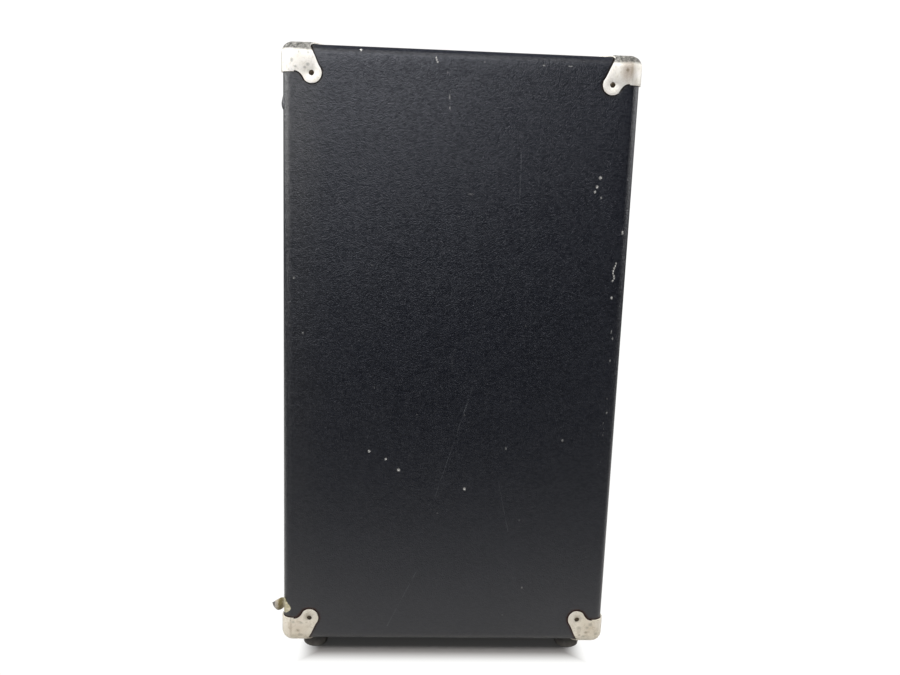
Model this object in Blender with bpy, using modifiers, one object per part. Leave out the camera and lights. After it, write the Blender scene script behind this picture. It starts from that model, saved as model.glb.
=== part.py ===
"""Bass speaker cabinet: one 15 inch woofer and a horn in a vented ply box with black vinyl,
stamped metal corners, rubber feet, a pull-off cloth grille, a rear jack dish and a folding top handle.

Metres, +Z up. The origin is on the floor at the middle of the cabinet. -Y is the front (grille),
+X is the right-hand side as seen from the back of the cabinet, and the box stands on four feet.
"""

import math

import bpy
import bmesh
from mathutils import Matrix, Vector

# ---------------------------------------------------------------- driving dimensions (metres)
WIDTH = 0.610            # X, 24 in
DEPTH = 0.406            # Y, 16 in
BODY_H = 0.724           # Z of the covered box, 28.5 in
FOOT_H = 0.019
EDGE_R = 0.0115          # rounding of the covered box's edges
VINYL = 0.0010           # covering thickness
GAP = 0.0003             # between touching pieces
PLY = 0.018              # side, top, bottom and baffle boards
BACK_PLY = 0.015
FRONT_RECESS = 0.025     # baffle face behind the front edge
REAR_RECESS = 0.005      # back panel behind the rear edge

METAL = 0.0015           # corner protector sheet
CORNER_PROUD = 0.0021    # outer face of the sheet over the covering
CAP = 0.0315             # how far a corner reaches along each edge
LIP = 0.0172             # how far it reaches over the front or rear edge
EAR_HOLE = (0.0330, 0.0320)     # screw hole of the side ear
BASE_HOLE = (0.0380, 0.0325)    # screw hole of the top or bottom ear, which the foot shares
EAR_R = 0.0113

FOOT_R = 0.0166                 # feet sit on the bottom ears, on the same screws

WOOFER_Z = 0.285         # woofer axis above the floor
WOOFER_HOLE_R = 0.177
HORN_Z = 0.600
PORT_X, PORT_Z, PORT_R = 0.212, 0.117, 0.038
DISH_Z = 0.170           # jack dish centre on the back panel
BAR_Z = 0.503            # grille crossbar

HANDLE_HALF = (0.072, 0.041)   # inside of the handle dish
HANDLE_DEPTH = 0.040
BAIL_AXIS_Y, BAIL_DROP = -0.031, 0.0094
BAIL_REACH = 0.053
BAIL_R = 0.0038

Z0 = FOOT_H
Z1 = FOOT_H + BODY_H
HX, HY = WIDTH / 2, DEPTH / 2
BAFFLE_Y = -HY + FRONT_RECESS            # front face of the baffle
BACK_Y = HY - REAR_RECESS                # rear face of the back panel
SKIN = VINYL + GAP                       # covering and the gap under it
INNER_X = HX - SKIN - PLY                # inside faces of the side boards
INNER_Z0, INNER_Z1 = Z0 + SKIN + PLY, Z1 - SKIN - PLY

# ---------------------------------------------------------------- scene and materials
for old in list(bpy.data.objects):
    bpy.data.objects.remove(old, do_unlink=True)

cabinet = bpy.data.collections.new("bass_speaker_cabinet")
cutters = bpy.data.collections.new("cutters")
bpy.context.scene.collection.children.link(cabinet)
bpy.context.scene.collection.children.link(cutters)


def material(name, rgb, roughness, metallic=0.0):
    m = bpy.data.materials.new(name)
    m.use_nodes = True
    p = m.node_tree.nodes["Principled BSDF"]
    p.inputs["Base Color"].default_value = (*rgb, 1.0)
    p.inputs["Roughness"].default_value = roughness
    p.inputs["Metallic"].default_value = metallic
    return m


M_PLY = material("ply", (0.55, 0.40, 0.24), 0.7)
M_VINYL = material("black_vinyl", (0.025, 0.026, 0.029), 0.5)
M_NICKEL = material("tarnished_nickel", (0.72, 0.68, 0.58), 0.38, 1.0)
M_RUBBER = material("black_rubber", (0.02, 0.02, 0.02), 0.8)
M_STEEL = material("zinc_steel", (0.62, 0.62, 0.60), 0.35, 1.0)
M_BLACK_METAL = material("black_painted_metal", (0.03, 0.03, 0.03), 0.45)
M_PAPER = material("cone_paper", (0.035, 0.033, 0.032), 0.85)
M_CLOTH = material("grille_cloth", (0.05, 0.05, 0.052), 0.9)
M_PLASTIC = material("black_plastic", (0.03, 0.03, 0.03), 0.5)
M_COPPER = material("copper", (0.72, 0.38, 0.20), 0.35, 1.0)
M_IRON = material("plated_iron", (0.45, 0.45, 0.44), 0.4, 1.0)
M_FERRITE = material("ferrite", (0.06, 0.06, 0.065), 0.6)
M_FELT = material("wadding", (0.75, 0.73, 0.68), 0.95)
M_BOARD = material("board", (0.10, 0.22, 0.10), 0.6)
M_WIRE = material("wire_red_black", (0.35, 0.03, 0.03), 0.5)


# ---------------------------------------------------------------- helpers
def place(ob, mat=None, cutter=False):
    (cutters if cutter else cabinet).objects.link(ob)
    if cutter:
        ob.hide_render = True
        ob.display_type = "WIRE"
    elif mat:
        ob.data.materials.clear()
        ob.data.materials.append(mat)
    return ob


def smooth(ob, degrees=35):
    ob.data.shade_smooth()
    ob.data.set_sharp_from_angle(angle=math.radians(degrees))
    return ob


def block(name, lo, hi, mat=None, bevel=0.0, segments=3, cutter=False):
    """A box between two corners, its scale in its mesh, with rounded edges if asked."""
    lo, hi = Vector(lo), Vector(hi)
    bm = bmesh.new()
    bmesh.ops.create_cube(bm, size=1.0, matrix=Matrix.Diagonal((*(hi - lo), 1.0)))
    me = bpy.data.meshes.new(name)
    bm.to_mesh(me)
    bm.free()
    ob = bpy.data.objects.new(name, me)
    ob.location = (lo + hi) / 2
    place(ob, mat, cutter)
    if bevel:
        b = ob.modifiers.new("round", "BEVEL")
        b.width, b.segments, b.limit_method = bevel, segments, "NONE"
        b.use_clamp_overlap = False
    return ob


TURNS = {"z": (0, 0, 0), "-z": (math.pi, 0, 0), "front": (math.pi / 2, 0, 0), "rear": (-math.pi / 2, 0, 0), "x": (0, math.pi / 2, 0)}


def rod(name, at, along, r, length, sides=24, cutter=True, mat=None, r2=None):
    """A capped cylinder or cone centred on a point."""
    bm = bmesh.new()
    bmesh.ops.create_cone(bm, cap_ends=True, segments=sides, radius1=r, radius2=r if r2 is None else r2, depth=length)
    me = bpy.data.meshes.new(name)
    bm.to_mesh(me)
    bm.free()
    ob = bpy.data.objects.new(name, me)
    ob.location = at
    ob.rotation_euler = TURNS[along]
    return place(ob, mat, cutter)


def turned(name, profile, at, along, mat, steps=40, closed=False):
    """A turned piece: (radius, height) points that run down the outer side, spun about its own Z."""
    me = bpy.data.meshes.new(name)
    bm = bmesh.new()
    vs = [bm.verts.new((r, 0.0, h)) for r, h in profile]
    for a, b in zip(vs, vs[1:] + ([vs[0]] if closed else [])):
        bm.edges.new((a, b))
    bm.to_mesh(me)
    bm.free()
    ob = bpy.data.objects.new(name, me)
    ob.location = at
    ob.rotation_euler = TURNS[along]
    place(ob, mat)
    s = ob.modifiers.new("turn", "SCREW")
    s.steps = s.render_steps = steps
    s.use_merge_vertices = True
    s.merge_threshold = 0.00005
    s.use_smooth_shade = True
    return ob


def boolean(ob, other, operation="DIFFERENCE"):
    b = ob.modifiers.new(operation.lower(), "BOOLEAN")
    b.operation, b.object, b.solver = operation, other, "EXACT"
    return ob


def slab(name, outline, thickness, mat=None, cutter=False, matrix=None):
    """A flat outline (metres, in XY) as a 2D curve with extrude, made a mesh."""
    cu = bpy.data.curves.new(name, "CURVE")
    cu.dimensions, cu.fill_mode, cu.extrude = "2D", "BOTH", thickness / 2
    sp = cu.splines.new("POLY")
    sp.points.add(len(outline) - 1)
    for p, (x, y) in zip(sp.points, outline):
        p.co = (x, y, 0.0, 1.0)
    sp.use_cyclic_u = True
    tmp = bpy.data.objects.new(name + "_curve", cu)
    bpy.context.scene.collection.objects.link(tmp)
    bpy.context.view_layer.update()
    me = bpy.data.meshes.new_from_object(tmp.evaluated_get(bpy.context.evaluated_depsgraph_get()))
    bpy.data.objects.remove(tmp, do_unlink=True)
    bm = bmesh.new()
    bm.from_mesh(me)
    bmesh.ops.remove_doubles(bm, verts=bm.verts, dist=0.00002)
    bmesh.ops.recalc_face_normals(bm, faces=bm.faces)
    bm.to_mesh(me)
    bm.free()
    me.name = name
    ob = bpy.data.objects.new(name, me)
    if matrix is not None:
        ob.matrix_world = matrix
    return place(ob, mat, cutter)


def round_rect(hx, hy, r, seg=4):
    """Corner points of a rounded rectangle, counter-clockwise."""
    out = []
    for cx, cy, start in ((hx - r, hy - r, 0), (-hx + r, hy - r, 90), (-hx + r, -hy + r, 180), (hx - r, -hy + r, 270)):
        for i in range(seg + 1):
            a = math.radians(start + 90 * i / seg)
            out.append((cx + r * math.cos(a), cy + r * math.sin(a)))
    return out


def wire(name, route, radius, mat, points=22):
    """A round wire along a smooth curve through the route's points."""
    pts = [Vector(p) for p in route]
    ext = [2 * pts[0] - pts[1]] + pts + [2 * pts[-1] - pts[-2]]
    fine = []
    for i in range(1, len(ext) - 2):
        p0, p1, p2, p3 = ext[i - 1:i + 3]
        for k in range(20):
            t = k / 20
            fine.append(0.5 * (2 * p1 + (p2 - p0) * t + (2 * p0 - 5 * p1 + 4 * p2 - p3) * t * t + (3 * p1 - p0 - 3 * p2 + p3) * t ** 3))
    fine.append(pts[-1])
    length = [0.0]
    for a, b in zip(fine, fine[1:]):
        length.append(length[-1] + (b - a).length)
    cu = bpy.data.curves.new(name, "CURVE")
    cu.dimensions, cu.bevel_depth, cu.bevel_resolution, cu.use_fill_caps = "3D", radius, 1, True
    sp = cu.splines.new("POLY")
    sp.points.add(points - 1)
    for k in range(points):
        want = length[-1] * k / (points - 1)
        i = min(len(fine) - 2, max(0, next((j for j in range(len(length) - 1) if length[j + 1] >= want), len(fine) - 2)))
        t = (want - length[i]) / max(length[i + 1] - length[i], 1e-9)
        sp.points[k].co = (*(fine[i].lerp(fine[i + 1], t)), 1.0)
    ob = bpy.data.objects.new(name, cu)
    return place(ob, mat)


# ---------------------------------------------------------------- carcass
def envelope(name, inset):
    """The covered box's rounded outside, pulled in by inset."""
    return block(name, (-HX + inset, -HY + inset, Z0 + inset), (HX - inset, HY - inset, Z1 - inset),
                 bevel=EDGE_R - inset, segments=3, cutter=True)


wood_envelope = envelope("wood_envelope", SKIN)
foot_spots = [(sx * (HX - BASE_HOLE[1]), sy * (HY - BASE_HOLE[0])) for sx in (-1, 1) for sy in (-1, 1)]

for side, sx in (("left", -1), ("right", 1)):
    xs = sorted((sx * INNER_X, sx * (HX + 0.01)))
    boolean(block("side_panel_" + side, (xs[0], -HY - 0.01, Z0 - 0.01), (xs[1], HY + 0.01, Z1 + 0.01), M_PLY), wood_envelope, "INTERSECT")

px = INNER_X - GAP
top_panel = boolean(block("top_panel", (-px, -HY - 0.01, INNER_Z1), (px, HY + 0.01, Z1 + 0.01), M_PLY), wood_envelope, "INTERSECT")
bottom_panel = boolean(block("bottom_panel", (-px, -HY - 0.01, Z0 - 0.01), (px, HY + 0.01, INNER_Z0), M_PLY), wood_envelope, "INTERSECT")
for i, (x, y) in enumerate(foot_spots):
    boolean(bottom_panel, rod(f"foot_bore_{i}", (x, y, Z0), "z", 0.0024, 0.044, 8))
handle_hole = block("handle_hole", (-HANDLE_HALF[0] - 0.003, -HANDLE_HALF[1] - 0.003, Z1 - 0.05), (HANDLE_HALF[0] + 0.003, HANDLE_HALF[1] + 0.003, Z1 + 0.05), cutter=True)
boolean(top_panel, handle_hole)

vinyl = block("vinyl_covering", (-HX, -HY, Z0), (HX, HY, Z1), M_VINYL, bevel=EDGE_R, segments=3)
boolean(vinyl, envelope("vinyl_inside", VINYL))
boolean(vinyl, block("open_ends", (-INNER_X - GAP, -HY - 0.02, INNER_Z0 - GAP), (INNER_X + GAP, HY + 0.02, INNER_Z1 + GAP), cutter=True))
boolean(vinyl, handle_hole)
for i, (x, y) in enumerate(foot_spots):
    boolean(vinyl, rod(f"foot_bore_skin_{i}", (x, y, Z0), "z", 0.0024, 0.006, 8))

bz0, bz1 = INNER_Z0 + GAP, INNER_Z1 - GAP
baffle = block("baffle_board", (-px, BAFFLE_Y, bz0), (px, BAFFLE_Y + PLY, bz1), M_PLY)
ym = BAFFLE_Y + PLY / 2
boolean(baffle, rod("woofer_cut", (0, ym, WOOFER_Z), "front", WOOFER_HOLE_R, 0.06, 36))
boolean(baffle, slab("horn_cut", round_rect(0.103, 0.048, 0.012, 3), 0.06, cutter=True,
                     matrix=Matrix.Translation((0, ym, HORN_Z)) @ Matrix.Rotation(math.pi / 2, 4, "X")))
for sx in (-1, 1):
    boolean(baffle, rod(f"port_cut_{sx}", (sx * PORT_X, ym, PORT_Z), "front", PORT_R + 0.004, 0.06, 24))
peg_spots = [(sx * 0.268, z) for sx in (-1, 1) for z in (0.054, 0.706)]
for i, (x, z) in enumerate(peg_spots):
    boolean(baffle, rod(f"peg_hole_{i}", (x, BAFFLE_Y, z), "front", 0.0056, 0.028, 8))

back = block("back_panel", (-px + 0.001, BACK_Y - BACK_PLY, bz0 + 0.001), (px - 0.001, BACK_Y, bz1 - 0.001), M_PLY)
boolean(back, block("dish_cut", (-0.0595, BACK_Y - 0.05, DISH_Z - 0.0445), (0.0595, BACK_Y + 0.05, DISH_Z + 0.0445), cutter=True))

cy1 = BACK_Y - BACK_PLY - GAP
CL = 0.018
block("rear_cleat_left", (-px, cy1 - CL, bz0), (-px + CL, cy1, bz1), M_PLY)
block("rear_cleat_right", (px - CL, cy1 - CL, bz0), (px, cy1, bz1), M_PLY)
block("rear_cleat_top", (-px + CL + GAP, cy1 - CL, bz1 - CL), (px - CL - GAP, cy1, bz1), M_PLY)
block("rear_cleat_bottom", (-px + CL + GAP, cy1 - CL, bz0), (px - CL - GAP, cy1, bz0 + CL), M_PLY)
block("cross_brace", (-px, 0.012, 0.482), (px, 0.030, 0.542), M_PLY, bevel=0.002, segments=1)
block("damping_wadding", (-0.235, BACK_Y - BACK_PLY - GAP - 0.025, 0.262), (0.235, BACK_Y - BACK_PLY - GAP, 0.655), M_FELT, bevel=0.006, segments=2)

# ---------------------------------------------------------------- corner protectors
# One pressed sheet: a cap over the box's corner and two ears, one on the side face and one on the top
# or bottom face. u runs in from the front or rear edge, v in from the top or bottom (or side) edge.
def ear_outline(shift):
    """The side ear's outline, its round tip moved inwards by shift for the top or bottom ear."""
    pts = [(-0.004, -0.004), (0.0296, -0.004), (0.0326, 0.005), (0.0367 + 0.4 * shift, 0.014), (0.0404 + 0.75 * shift, 0.0225)]
    cu, cv = EAR_HOLE[0] + shift, EAR_HOLE[1]
    for a in range(-25, 132, 39):
        pts.append((cu + EAR_R * math.cos(math.radians(a)), cv + EAR_R * math.sin(math.radians(a))))
    pts += [(0.0243 + 0.8 * shift, 0.0372), (0.0203 + 0.4 * shift, 0.0328), (0.0150, 0.0302), (0.0085, 0.0305), (0.0, CAP), (-0.004, CAP)]
    return pts


def corner_mesh():
    """The corner at +X, -Y, +Z, about the box's own sharp corner point as origin."""
    big = 0.16
    outer = block("corner_outer", (-big, -CORNER_PROUD, -big), (CORNER_PROUD, big, CORNER_PROUD), cutter=True, bevel=EDGE_R + CORNER_PROUD, segments=3)
    inset = METAL - CORNER_PROUD
    inner = block("corner_inner", (-big - 0.01, inset, -big - 0.01), (-inset, big + 0.01, -inset), cutter=True, bevel=EDGE_R - inset, segments=3)
    # the side ear's prism runs along X, the top ear's along Z, the lip's along Y
    t = 0.0165
    side_m = Matrix(((0, 0, 1, -t / 2 + 0.004), (1, 0, 0, 0), (0, -1, 0, 0), (0, 0, 0, 1)))
    side = slab("corner_side", ear_outline(0.0), t + 0.006, cutter=True, matrix=side_m)
    top_m = Matrix(((0, -1, 0, 0), (1, 0, 0, 0), (0, 0, 1, -t / 2 + 0.004), (0, 0, 0, 1)))
    top = slab("corner_top", ear_outline(0.0035), t + 0.006, cutter=True, matrix=top_m)
    lip_pts = [(0.004, 0.004), (-CAP, 0.004), (-CAP, -LIP), (-LIP - 0.003, -LIP), (-LIP, -LIP - 0.003), (-LIP, -CAP), (0.004, -CAP)]
    lip_m = Matrix(((1, 0, 0, 0), (0, 0, 1, t / 2 - 0.004), (0, 1, 0, 0), (0, 0, 0, 1)))
    lip = slab("corner_lip", lip_pts, t + 0.006, cutter=True, matrix=lip_m)
    boolean(side, top, "UNION")
    boolean(side, lip, "UNION")
    boolean(outer, inner)
    boolean(outer, side, "INTERSECT")
    hu, hv = EAR_HOLE
    boolean(outer, rod("ear_hole_side", (0, hu, -hv), "x", 0.0027, 0.02, 8))
    boolean(outer, rod("ear_hole_top", (-BASE_HOLE[1], BASE_HOLE[0], 0), "z", 0.0027, 0.02, 8))
    bpy.context.view_layer.update()
    dg = bpy.context.evaluated_depsgraph_get()
    ev = outer.evaluated_get(dg)
    me = bpy.data.meshes.new_from_object(ev)
    me.transform(outer.matrix_world)
    for piece in list(cutters.objects):
        if piece.name.startswith(("corner_", "ear_hole")):
            bpy.data.objects.remove(piece, do_unlink=True)
    bm = bmesh.new()
    bm.from_mesh(me)
    bmesh.ops.remove_doubles(bm, verts=bm.verts, dist=0.00002)
    bmesh.ops.dissolve_limit(bm, angle_limit=0.01, verts=bm.verts, edges=bm.edges)
    bmesh.ops.triangulate(bm, faces=bm.faces)
    bm.to_mesh(me)
    bm.free()
    me.name = "corner"
    return me


base = corner_mesh()
for fb, sy in (("front", 1), ("rear", -1)):
    for lr, sx in (("right", 1), ("left", -1)):
        for tb, sz in (("top", 1), ("bottom", -1)):
            me = base.copy()
            me.transform(Matrix.Diagonal((sx, sy, sz, 1)))
            if sx * sy * sz < 0:
                me.flip_normals()
            ob = bpy.data.objects.new(f"corner_{fb}_{lr}_{tb}", me)
            ob.location = (sx * HX, -sy * HY, Z1 if sz > 0 else Z0)
            place(ob, M_NICKEL)
            smooth(ob, 30)

# ---------------------------------------------------------------- feet
foot_top = FOOT_H - CORNER_PROUD - GAP
foot_profile = [(0.0030, foot_top), (FOOT_R, foot_top), (FOOT_R, 0.0125), (FOOT_R - 0.0014, 0.0016),
                (FOOT_R - 0.0034, 0.0), (0.0072, 0.0), (0.0062, 0.0085), (0.0030, 0.0085)]
screw_profile = [(0.0, 0.0298), (0.0019, 0.0292), (0.0019, 0.0082), (0.0046, 0.0080), (0.0044, 0.0066), (0.0030, 0.0055), (0.0, 0.0053)]
for i, (x, y) in enumerate(foot_spots):
    tag = ("front" if y < 0 else "rear") + ("_left" if x < 0 else "_right")
    turned("rubber_foot_" + tag, foot_profile, (x, y, 0), "z", M_RUBBER, steps=20, closed=True)
    turned("foot_screw_" + tag, screw_profile, (x, y, 0), "z", M_STEEL, steps=8)

# ---------------------------------------------------------------- woofer
WOOFER = (0, BAFFLE_Y, WOOFER_Z)
mm = 0.001


def profile_mm(points):
    return [(r * mm, h * mm) for r, h in points]


basket = turned("woofer_basket", profile_mm([(192.5, 3.2), (192.5, 0.3), (175.6, 0.3), (173.0, -28), (84, -88), (84, -94), (50, -94),
                                             (50, -91.6), (81.8, -91.6), (81.8, -86.9), (170.8, -26.8), (173.2, 0.9), (168.2, 0.9), (168.2, 3.2)]),
                WOOFER, "front", M_BLACK_METAL, steps=36, closed=True)
for k in range(6):
    a = math.radians(60 * k + 30)
    win = block(f"basket_window_{k}", (-0.036, -0.030, -0.034), (0.036, 0.030, 0.034), cutter=True)
    # the window's middle sits on the cone-shaped wall, its long side along the wall
    r_mid, h_mid = 0.127, -0.059
    radial = Vector((math.cos(a), 0, math.sin(a)))
    centre = Vector(WOOFER) + radial * r_mid + Vector((0, -1, 0)) * h_mid
    slope = (radial * 0.0864 + Vector((0, -1, 0)) * 0.0597).normalized()
    tangent = Vector((-math.sin(a), 0, math.cos(a)))
    normal = slope.cross(tangent)
    win.matrix_world = Matrix.Translation(centre) @ Matrix((slope, tangent, normal)).transposed().to_4x4()
    boolean(basket, win)
turned("woofer_magnet", profile_mm([(70, -94.3), (70, -102), (82, -103), (82, -124), (42, -124), (42, -102), (40.4, -102), (40.4, -94.3)]),
       WOOFER, "front", M_FERRITE, steps=28, closed=True)
turned("woofer_pole_piece", profile_mm([(0, -93), (37.1, -93), (37.1, -124.3), (76, -124.3), (76, -131), (70, -134), (0, -134)]),
       WOOFER, "front", M_IRON, steps=28)
turned("voice_coil", profile_mm([(39.2, -66), (39.2, -112), (38.2, -112), (38.2, -66)]), WOOFER, "front", M_COPPER, steps=28, closed=True)
turned("spider", profile_mm([(39.8, -78.2), (48, -76.8), (57, -80.2), (66, -76.8), (75, -80.2), (80.5, -80.8), (80.5, -82.0),
                             (75, -81.4), (66, -78.0), (57, -81.4), (48, -78.0), (39.8, -79.4)]),
       WOOFER, "front", M_CLOTH, steps=28, closed=True)
turned("cone", profile_mm([(151, 1.4), (151, 0.3), (112, -20.6), (72, -45.2), (40.6, -70.5), (39.6, -70.5), (39.6, -69.5), (71, -44.0), (111, -19.4), (147, 1.4)]),
       WOOFER, "front", M_PAPER, steps=36, closed=True)
turned("surround", profile_mm([(167.8, 2.8), (167.8, 1.6), (163.4, 5.0), (159.3, 0.6), (155.4, 4.6), (152.2, 1.7), (147.2, 1.7),
                               (147.2, 2.8), (151.6, 2.8), (155.4, 6.0), (159.3, 2.2), (163.4, 6.4)]),
       WOOFER, "front", M_CLOTH, steps=36, closed=True)
turned("dust_cap", profile_mm([(0, -42.6), (18, -43.6), (34, -47.2), (46, -53.0), (52.5, -58.0), (50.5, -58.0), (45, -54.2), (33.4, -48.4), (17.8, -44.8), (0, -43.8)]),
       WOOFER, "front", M_PAPER, steps=28)

# ---------------------------------------------------------------- horn and ports
def super_ring(w, h, n, count=24):
    """Points of a superellipse w by h: n = 2 is an ellipse, a large n nearly a rectangle."""
    out = []
    for k in range(count):
        a = 2 * math.pi * (k + 0.5) / count
        c, s = math.cos(a), math.sin(a)
        out.append((w / 2 * math.copysign(abs(c) ** (2 / n), c), h / 2 * math.copysign(abs(s) ** (2 / n), s)))
    return out


def loft(name, sections, at, mat):
    """A closed loft through (w, h, n, forward) sections, the last joined to the first."""
    bm = bmesh.new()
    loops = [[bm.verts.new((x * mm, -f * mm, z * mm)) for x, z in super_ring(w, h, n)] for w, h, n, f in sections]
    for a, b in zip(loops, loops[1:] + loops[:1]):
        for k in range(len(a)):
            j = (k + 1) % len(a)
            bm.faces.new((a[k], a[j], b[j], b[k]))
    bmesh.ops.recalc_face_normals(bm, faces=bm.faces)
    me = bpy.data.meshes.new(name)
    bm.to_mesh(me)
    bm.free()
    ob = bpy.data.objects.new(name, me)
    ob.location = at
    return smooth(place(ob, mat))


loft("horn_flare", [(25.4, 25.4, 2, -112), (40, 31, 2.2, -99), (84, 46, 3.2, -68), (146, 66, 5, -30), (196, 86, 8, 3.6),
                    (236, 124, 12, 3.6), (236, 124, 12, 0.3), (201, 91, 8, 0.3), (151, 71, 5, -31), (89, 51, 3.2, -70), (46, 38, 2.2, -100), (42, 42, 2, -112)],
     (0, BAFFLE_Y, HORN_Z), M_PLASTIC)
turned("horn_driver", profile_mm([(0, -124), (12.7, -124), (12.7, -112.3), (24, -112.3), (24, -118), (43, -121), (45, -126), (45, -150), (37, -160), (0, -160)]),
       (0, BAFFLE_Y, HORN_Z), "front", M_BLACK_METAL, steps=24)
for side, sx in (("left", -1), ("right", 1)):
    turned("port_tube_" + side, profile_mm([(48, 1.6), (47.2, 0.3), (41, 0.3), (41, -110), (38, -110), (38, -4), (39.2, 0.8), (41.5, 2.3), (47, 2.3)]),
           (sx * PORT_X, BAFFLE_Y, PORT_Z), "front", M_PLASTIC, steps=24, closed=True)

# ---------------------------------------------------------------- grille
GX = 0.2830                                  # half width of the covered grille
GZ0, GZ1 = INNER_Z0 + 0.0027, INNER_Z1 - 0.0027
GY = -HY + 0.0040                            # front of the cloth
CLOTH = 0.0009
FRAME_T = 0.0110
fy0 = GY + CLOTH + GAP
fx, fz0, fz1 = GX - CLOTH - GAP, GZ0 + CLOTH + GAP, GZ1 - CLOTH - GAP
BAR = 0.030
grille_frame = block("grille_frame", (-fx, fy0, fz0), (fx, fy0 + FRAME_T, fz1), M_PLY)
boolean(grille_frame, block("window_low", (-fx + BAR, fy0 - 0.02, fz0 + BAR), (fx - BAR, fy0 + 0.03, BAR_Z - 0.012), cutter=True))
boolean(grille_frame, block("window_high", (-fx + BAR, fy0 - 0.02, BAR_Z + 0.012), (fx - BAR, fy0 + 0.03, fz1 - BAR), cutter=True))
for i, (x, z) in enumerate(peg_spots):
    y0, y1 = fy0 + FRAME_T - 0.004, BAFFLE_Y + 0.0115
    boolean(grille_frame, rod(f"peg_{i}", (x, (y0 + y1) / 2, z), "front", 0.0050, y1 - y0, 8), "UNION")
cloth = block("grille_cloth", (-GX, GY, GZ0), (GX, fy0 + FRAME_T, GZ1), M_CLOTH)
boolean(cloth, block("cloth_inside", (-GX + CLOTH, GY + CLOTH, GZ0 + CLOTH), (GX - CLOTH, fy0 + FRAME_T + 0.02, GZ1 - CLOTH), cutter=True))


# ---------------------------------------------------------------- pressed dishes
def dish(name, half, depth, wall, flange, flange_t, r, matrix, mat):
    """A pressed pan: a flange plate with a rounded pan below it, open at the top (local +Z)."""
    plate = slab(name, round_rect(half[0] + flange, half[1] + flange, r + flange * 0.5, 4), flange_t, mat,
                 matrix=matrix @ Matrix.Translation((0, 0, flange_t / 2)))
    pan = slab(name + "_pan", round_rect(half[0] + wall, half[1] + wall, r + wall, 4), depth + wall + flange_t * 0.5, cutter=True,
               matrix=matrix @ Matrix.Translation((0, 0, flange_t * 0.5 - (depth + wall + flange_t * 0.5) / 2)))
    hollow = slab(name + "_hollow", round_rect(half[0], half[1], r, 4), depth + 0.02, cutter=True,
                  matrix=matrix @ Matrix.Translation((0, 0, 0.02 - (depth + 0.02) / 2)))
    boolean(plate, pan, "UNION")
    boolean(plate, hollow)
    return plate


handle_top = Z1 + GAP
handle_dish = dish("handle_dish", HANDLE_HALF, HANDLE_DEPTH, 0.0015, 0.012, 0.0014, 0.008, Matrix.Translation((0, 0, handle_top)), M_BLACK_METAL)
axis_z = handle_top - BAIL_DROP + 0.0014
boolean(handle_dish, rod("bail_bore", (0, BAIL_AXIS_Y, axis_z), "x", BAIL_R + 0.0004, 0.18, 16))

bail_cu = bpy.data.curves.new("handle_bail", "CURVE")
bail_cu.dimensions, bail_cu.bevel_depth, bail_cu.bevel_resolution, bail_cu.use_fill_caps = "3D", BAIL_R, 2, True
bx = HANDLE_HALF[0] - BAIL_R - 0.0022
half_path = [(HANDLE_HALF[0] + 0.0010, 0.0), (bx + 0.0030, 0.0)]
for k in range(1, 4):
    a = math.radians(30 * k)
    half_path.append((bx + 0.0030 - 0.0045 * math.sin(a), 0.0045 - 0.0045 * math.cos(a)))
bx2 = half_path[-1][0]
for k in range(0, 7):
    a = math.radians(15 * k)
    half_path.append((bx2 - 0.010 + 0.010 * math.cos(a), BAIL_REACH - 0.010 + 0.010 * math.sin(a)))
path = half_path + [(-x, y) for x, y in reversed(half_path)]
sp = bail_cu.splines.new("POLY")
sp.points.add(len(path) - 1)
for p, (x, y) in zip(sp.points, path):
    p.co = (x, y, 0.0, 1.0)
bail = bpy.data.objects.new("handle_bail", bail_cu)
bail.location = (0, BAIL_AXIS_Y, axis_z)
place(bail, M_STEEL)
grip_half = 0.046
grip_profile = [(BAIL_R + 0.0004, grip_half), (0.0078, grip_half), (0.0088, grip_half - 0.0015), (0.0088, -grip_half + 0.0015), (0.0078, -grip_half), (BAIL_R + 0.0004, -grip_half)]
grip = turned("handle_grip", grip_profile, (0, 0, 0), "x", M_RUBBER, steps=16, closed=True)
grip.location = (0, BAIL_AXIS_Y + BAIL_REACH, axis_z)

# ---------------------------------------------------------------- jack dish and controls
dish_m = Matrix.Translation((0, BACK_Y + GAP, DISH_Z)) @ Matrix.Rotation(-math.pi / 2, 4, "X")
DISH_IN = 0.028
jack_dish = dish("jack_dish", (0.056, 0.041), DISH_IN, 0.0014, 0.011, 0.0013, 0.007, dish_m, M_BLACK_METAL)
floor_y = BACK_Y + GAP - DISH_IN             # the pan's floor, seen from the rear
JACKS = (("jack_input", -0.030), ("jack_link", 0.0))
POT_X = 0.032
for n, x in JACKS:
    boolean(jack_dish, rod(n + "_bore", (x, floor_y, DISH_Z), "rear", 0.0051, 0.02, 16))
boolean(jack_dish, rod("pot_bore", (POT_X, floor_y, DISH_Z), "rear", 0.0040, 0.02, 16))
jack_profile = profile_mm([(0, -24), (3.45, -24), (3.45, 5.4), (4.8, 5.4), (4.8, 3.5), (7.4, 3.5), (7.4, 0.3), (4.8, 0.3), (4.8, -1.8), (9.5, -1.8), (9.5, -27), (0, -27)])
for n, x in JACKS:
    turned(n, jack_profile, (x, floor_y, DISH_Z), "rear", M_STEEL, steps=16)
turned("level_pot", profile_mm([(0, 12.5), (2.9, 12.5), (2.9, 0.8), (3.7, 0.8), (3.7, -1.8), (12, -1.8), (12, -12), (0, -12)]),
       (POT_X, floor_y, DISH_Z), "rear", M_IRON, steps=16)
knob = turned("level_knob", profile_mm([(0, 17.2), (7.4, 17.2), (8.2, 16.4), (9.0, 6.2), (10.5, 5.0), (10.5, 1.4), (3.2, 1.4), (3.2, 13.2), (0, 13.2)]),
              (POT_X, floor_y, DISH_Z), "rear", M_PLASTIC, steps=16)
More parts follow.
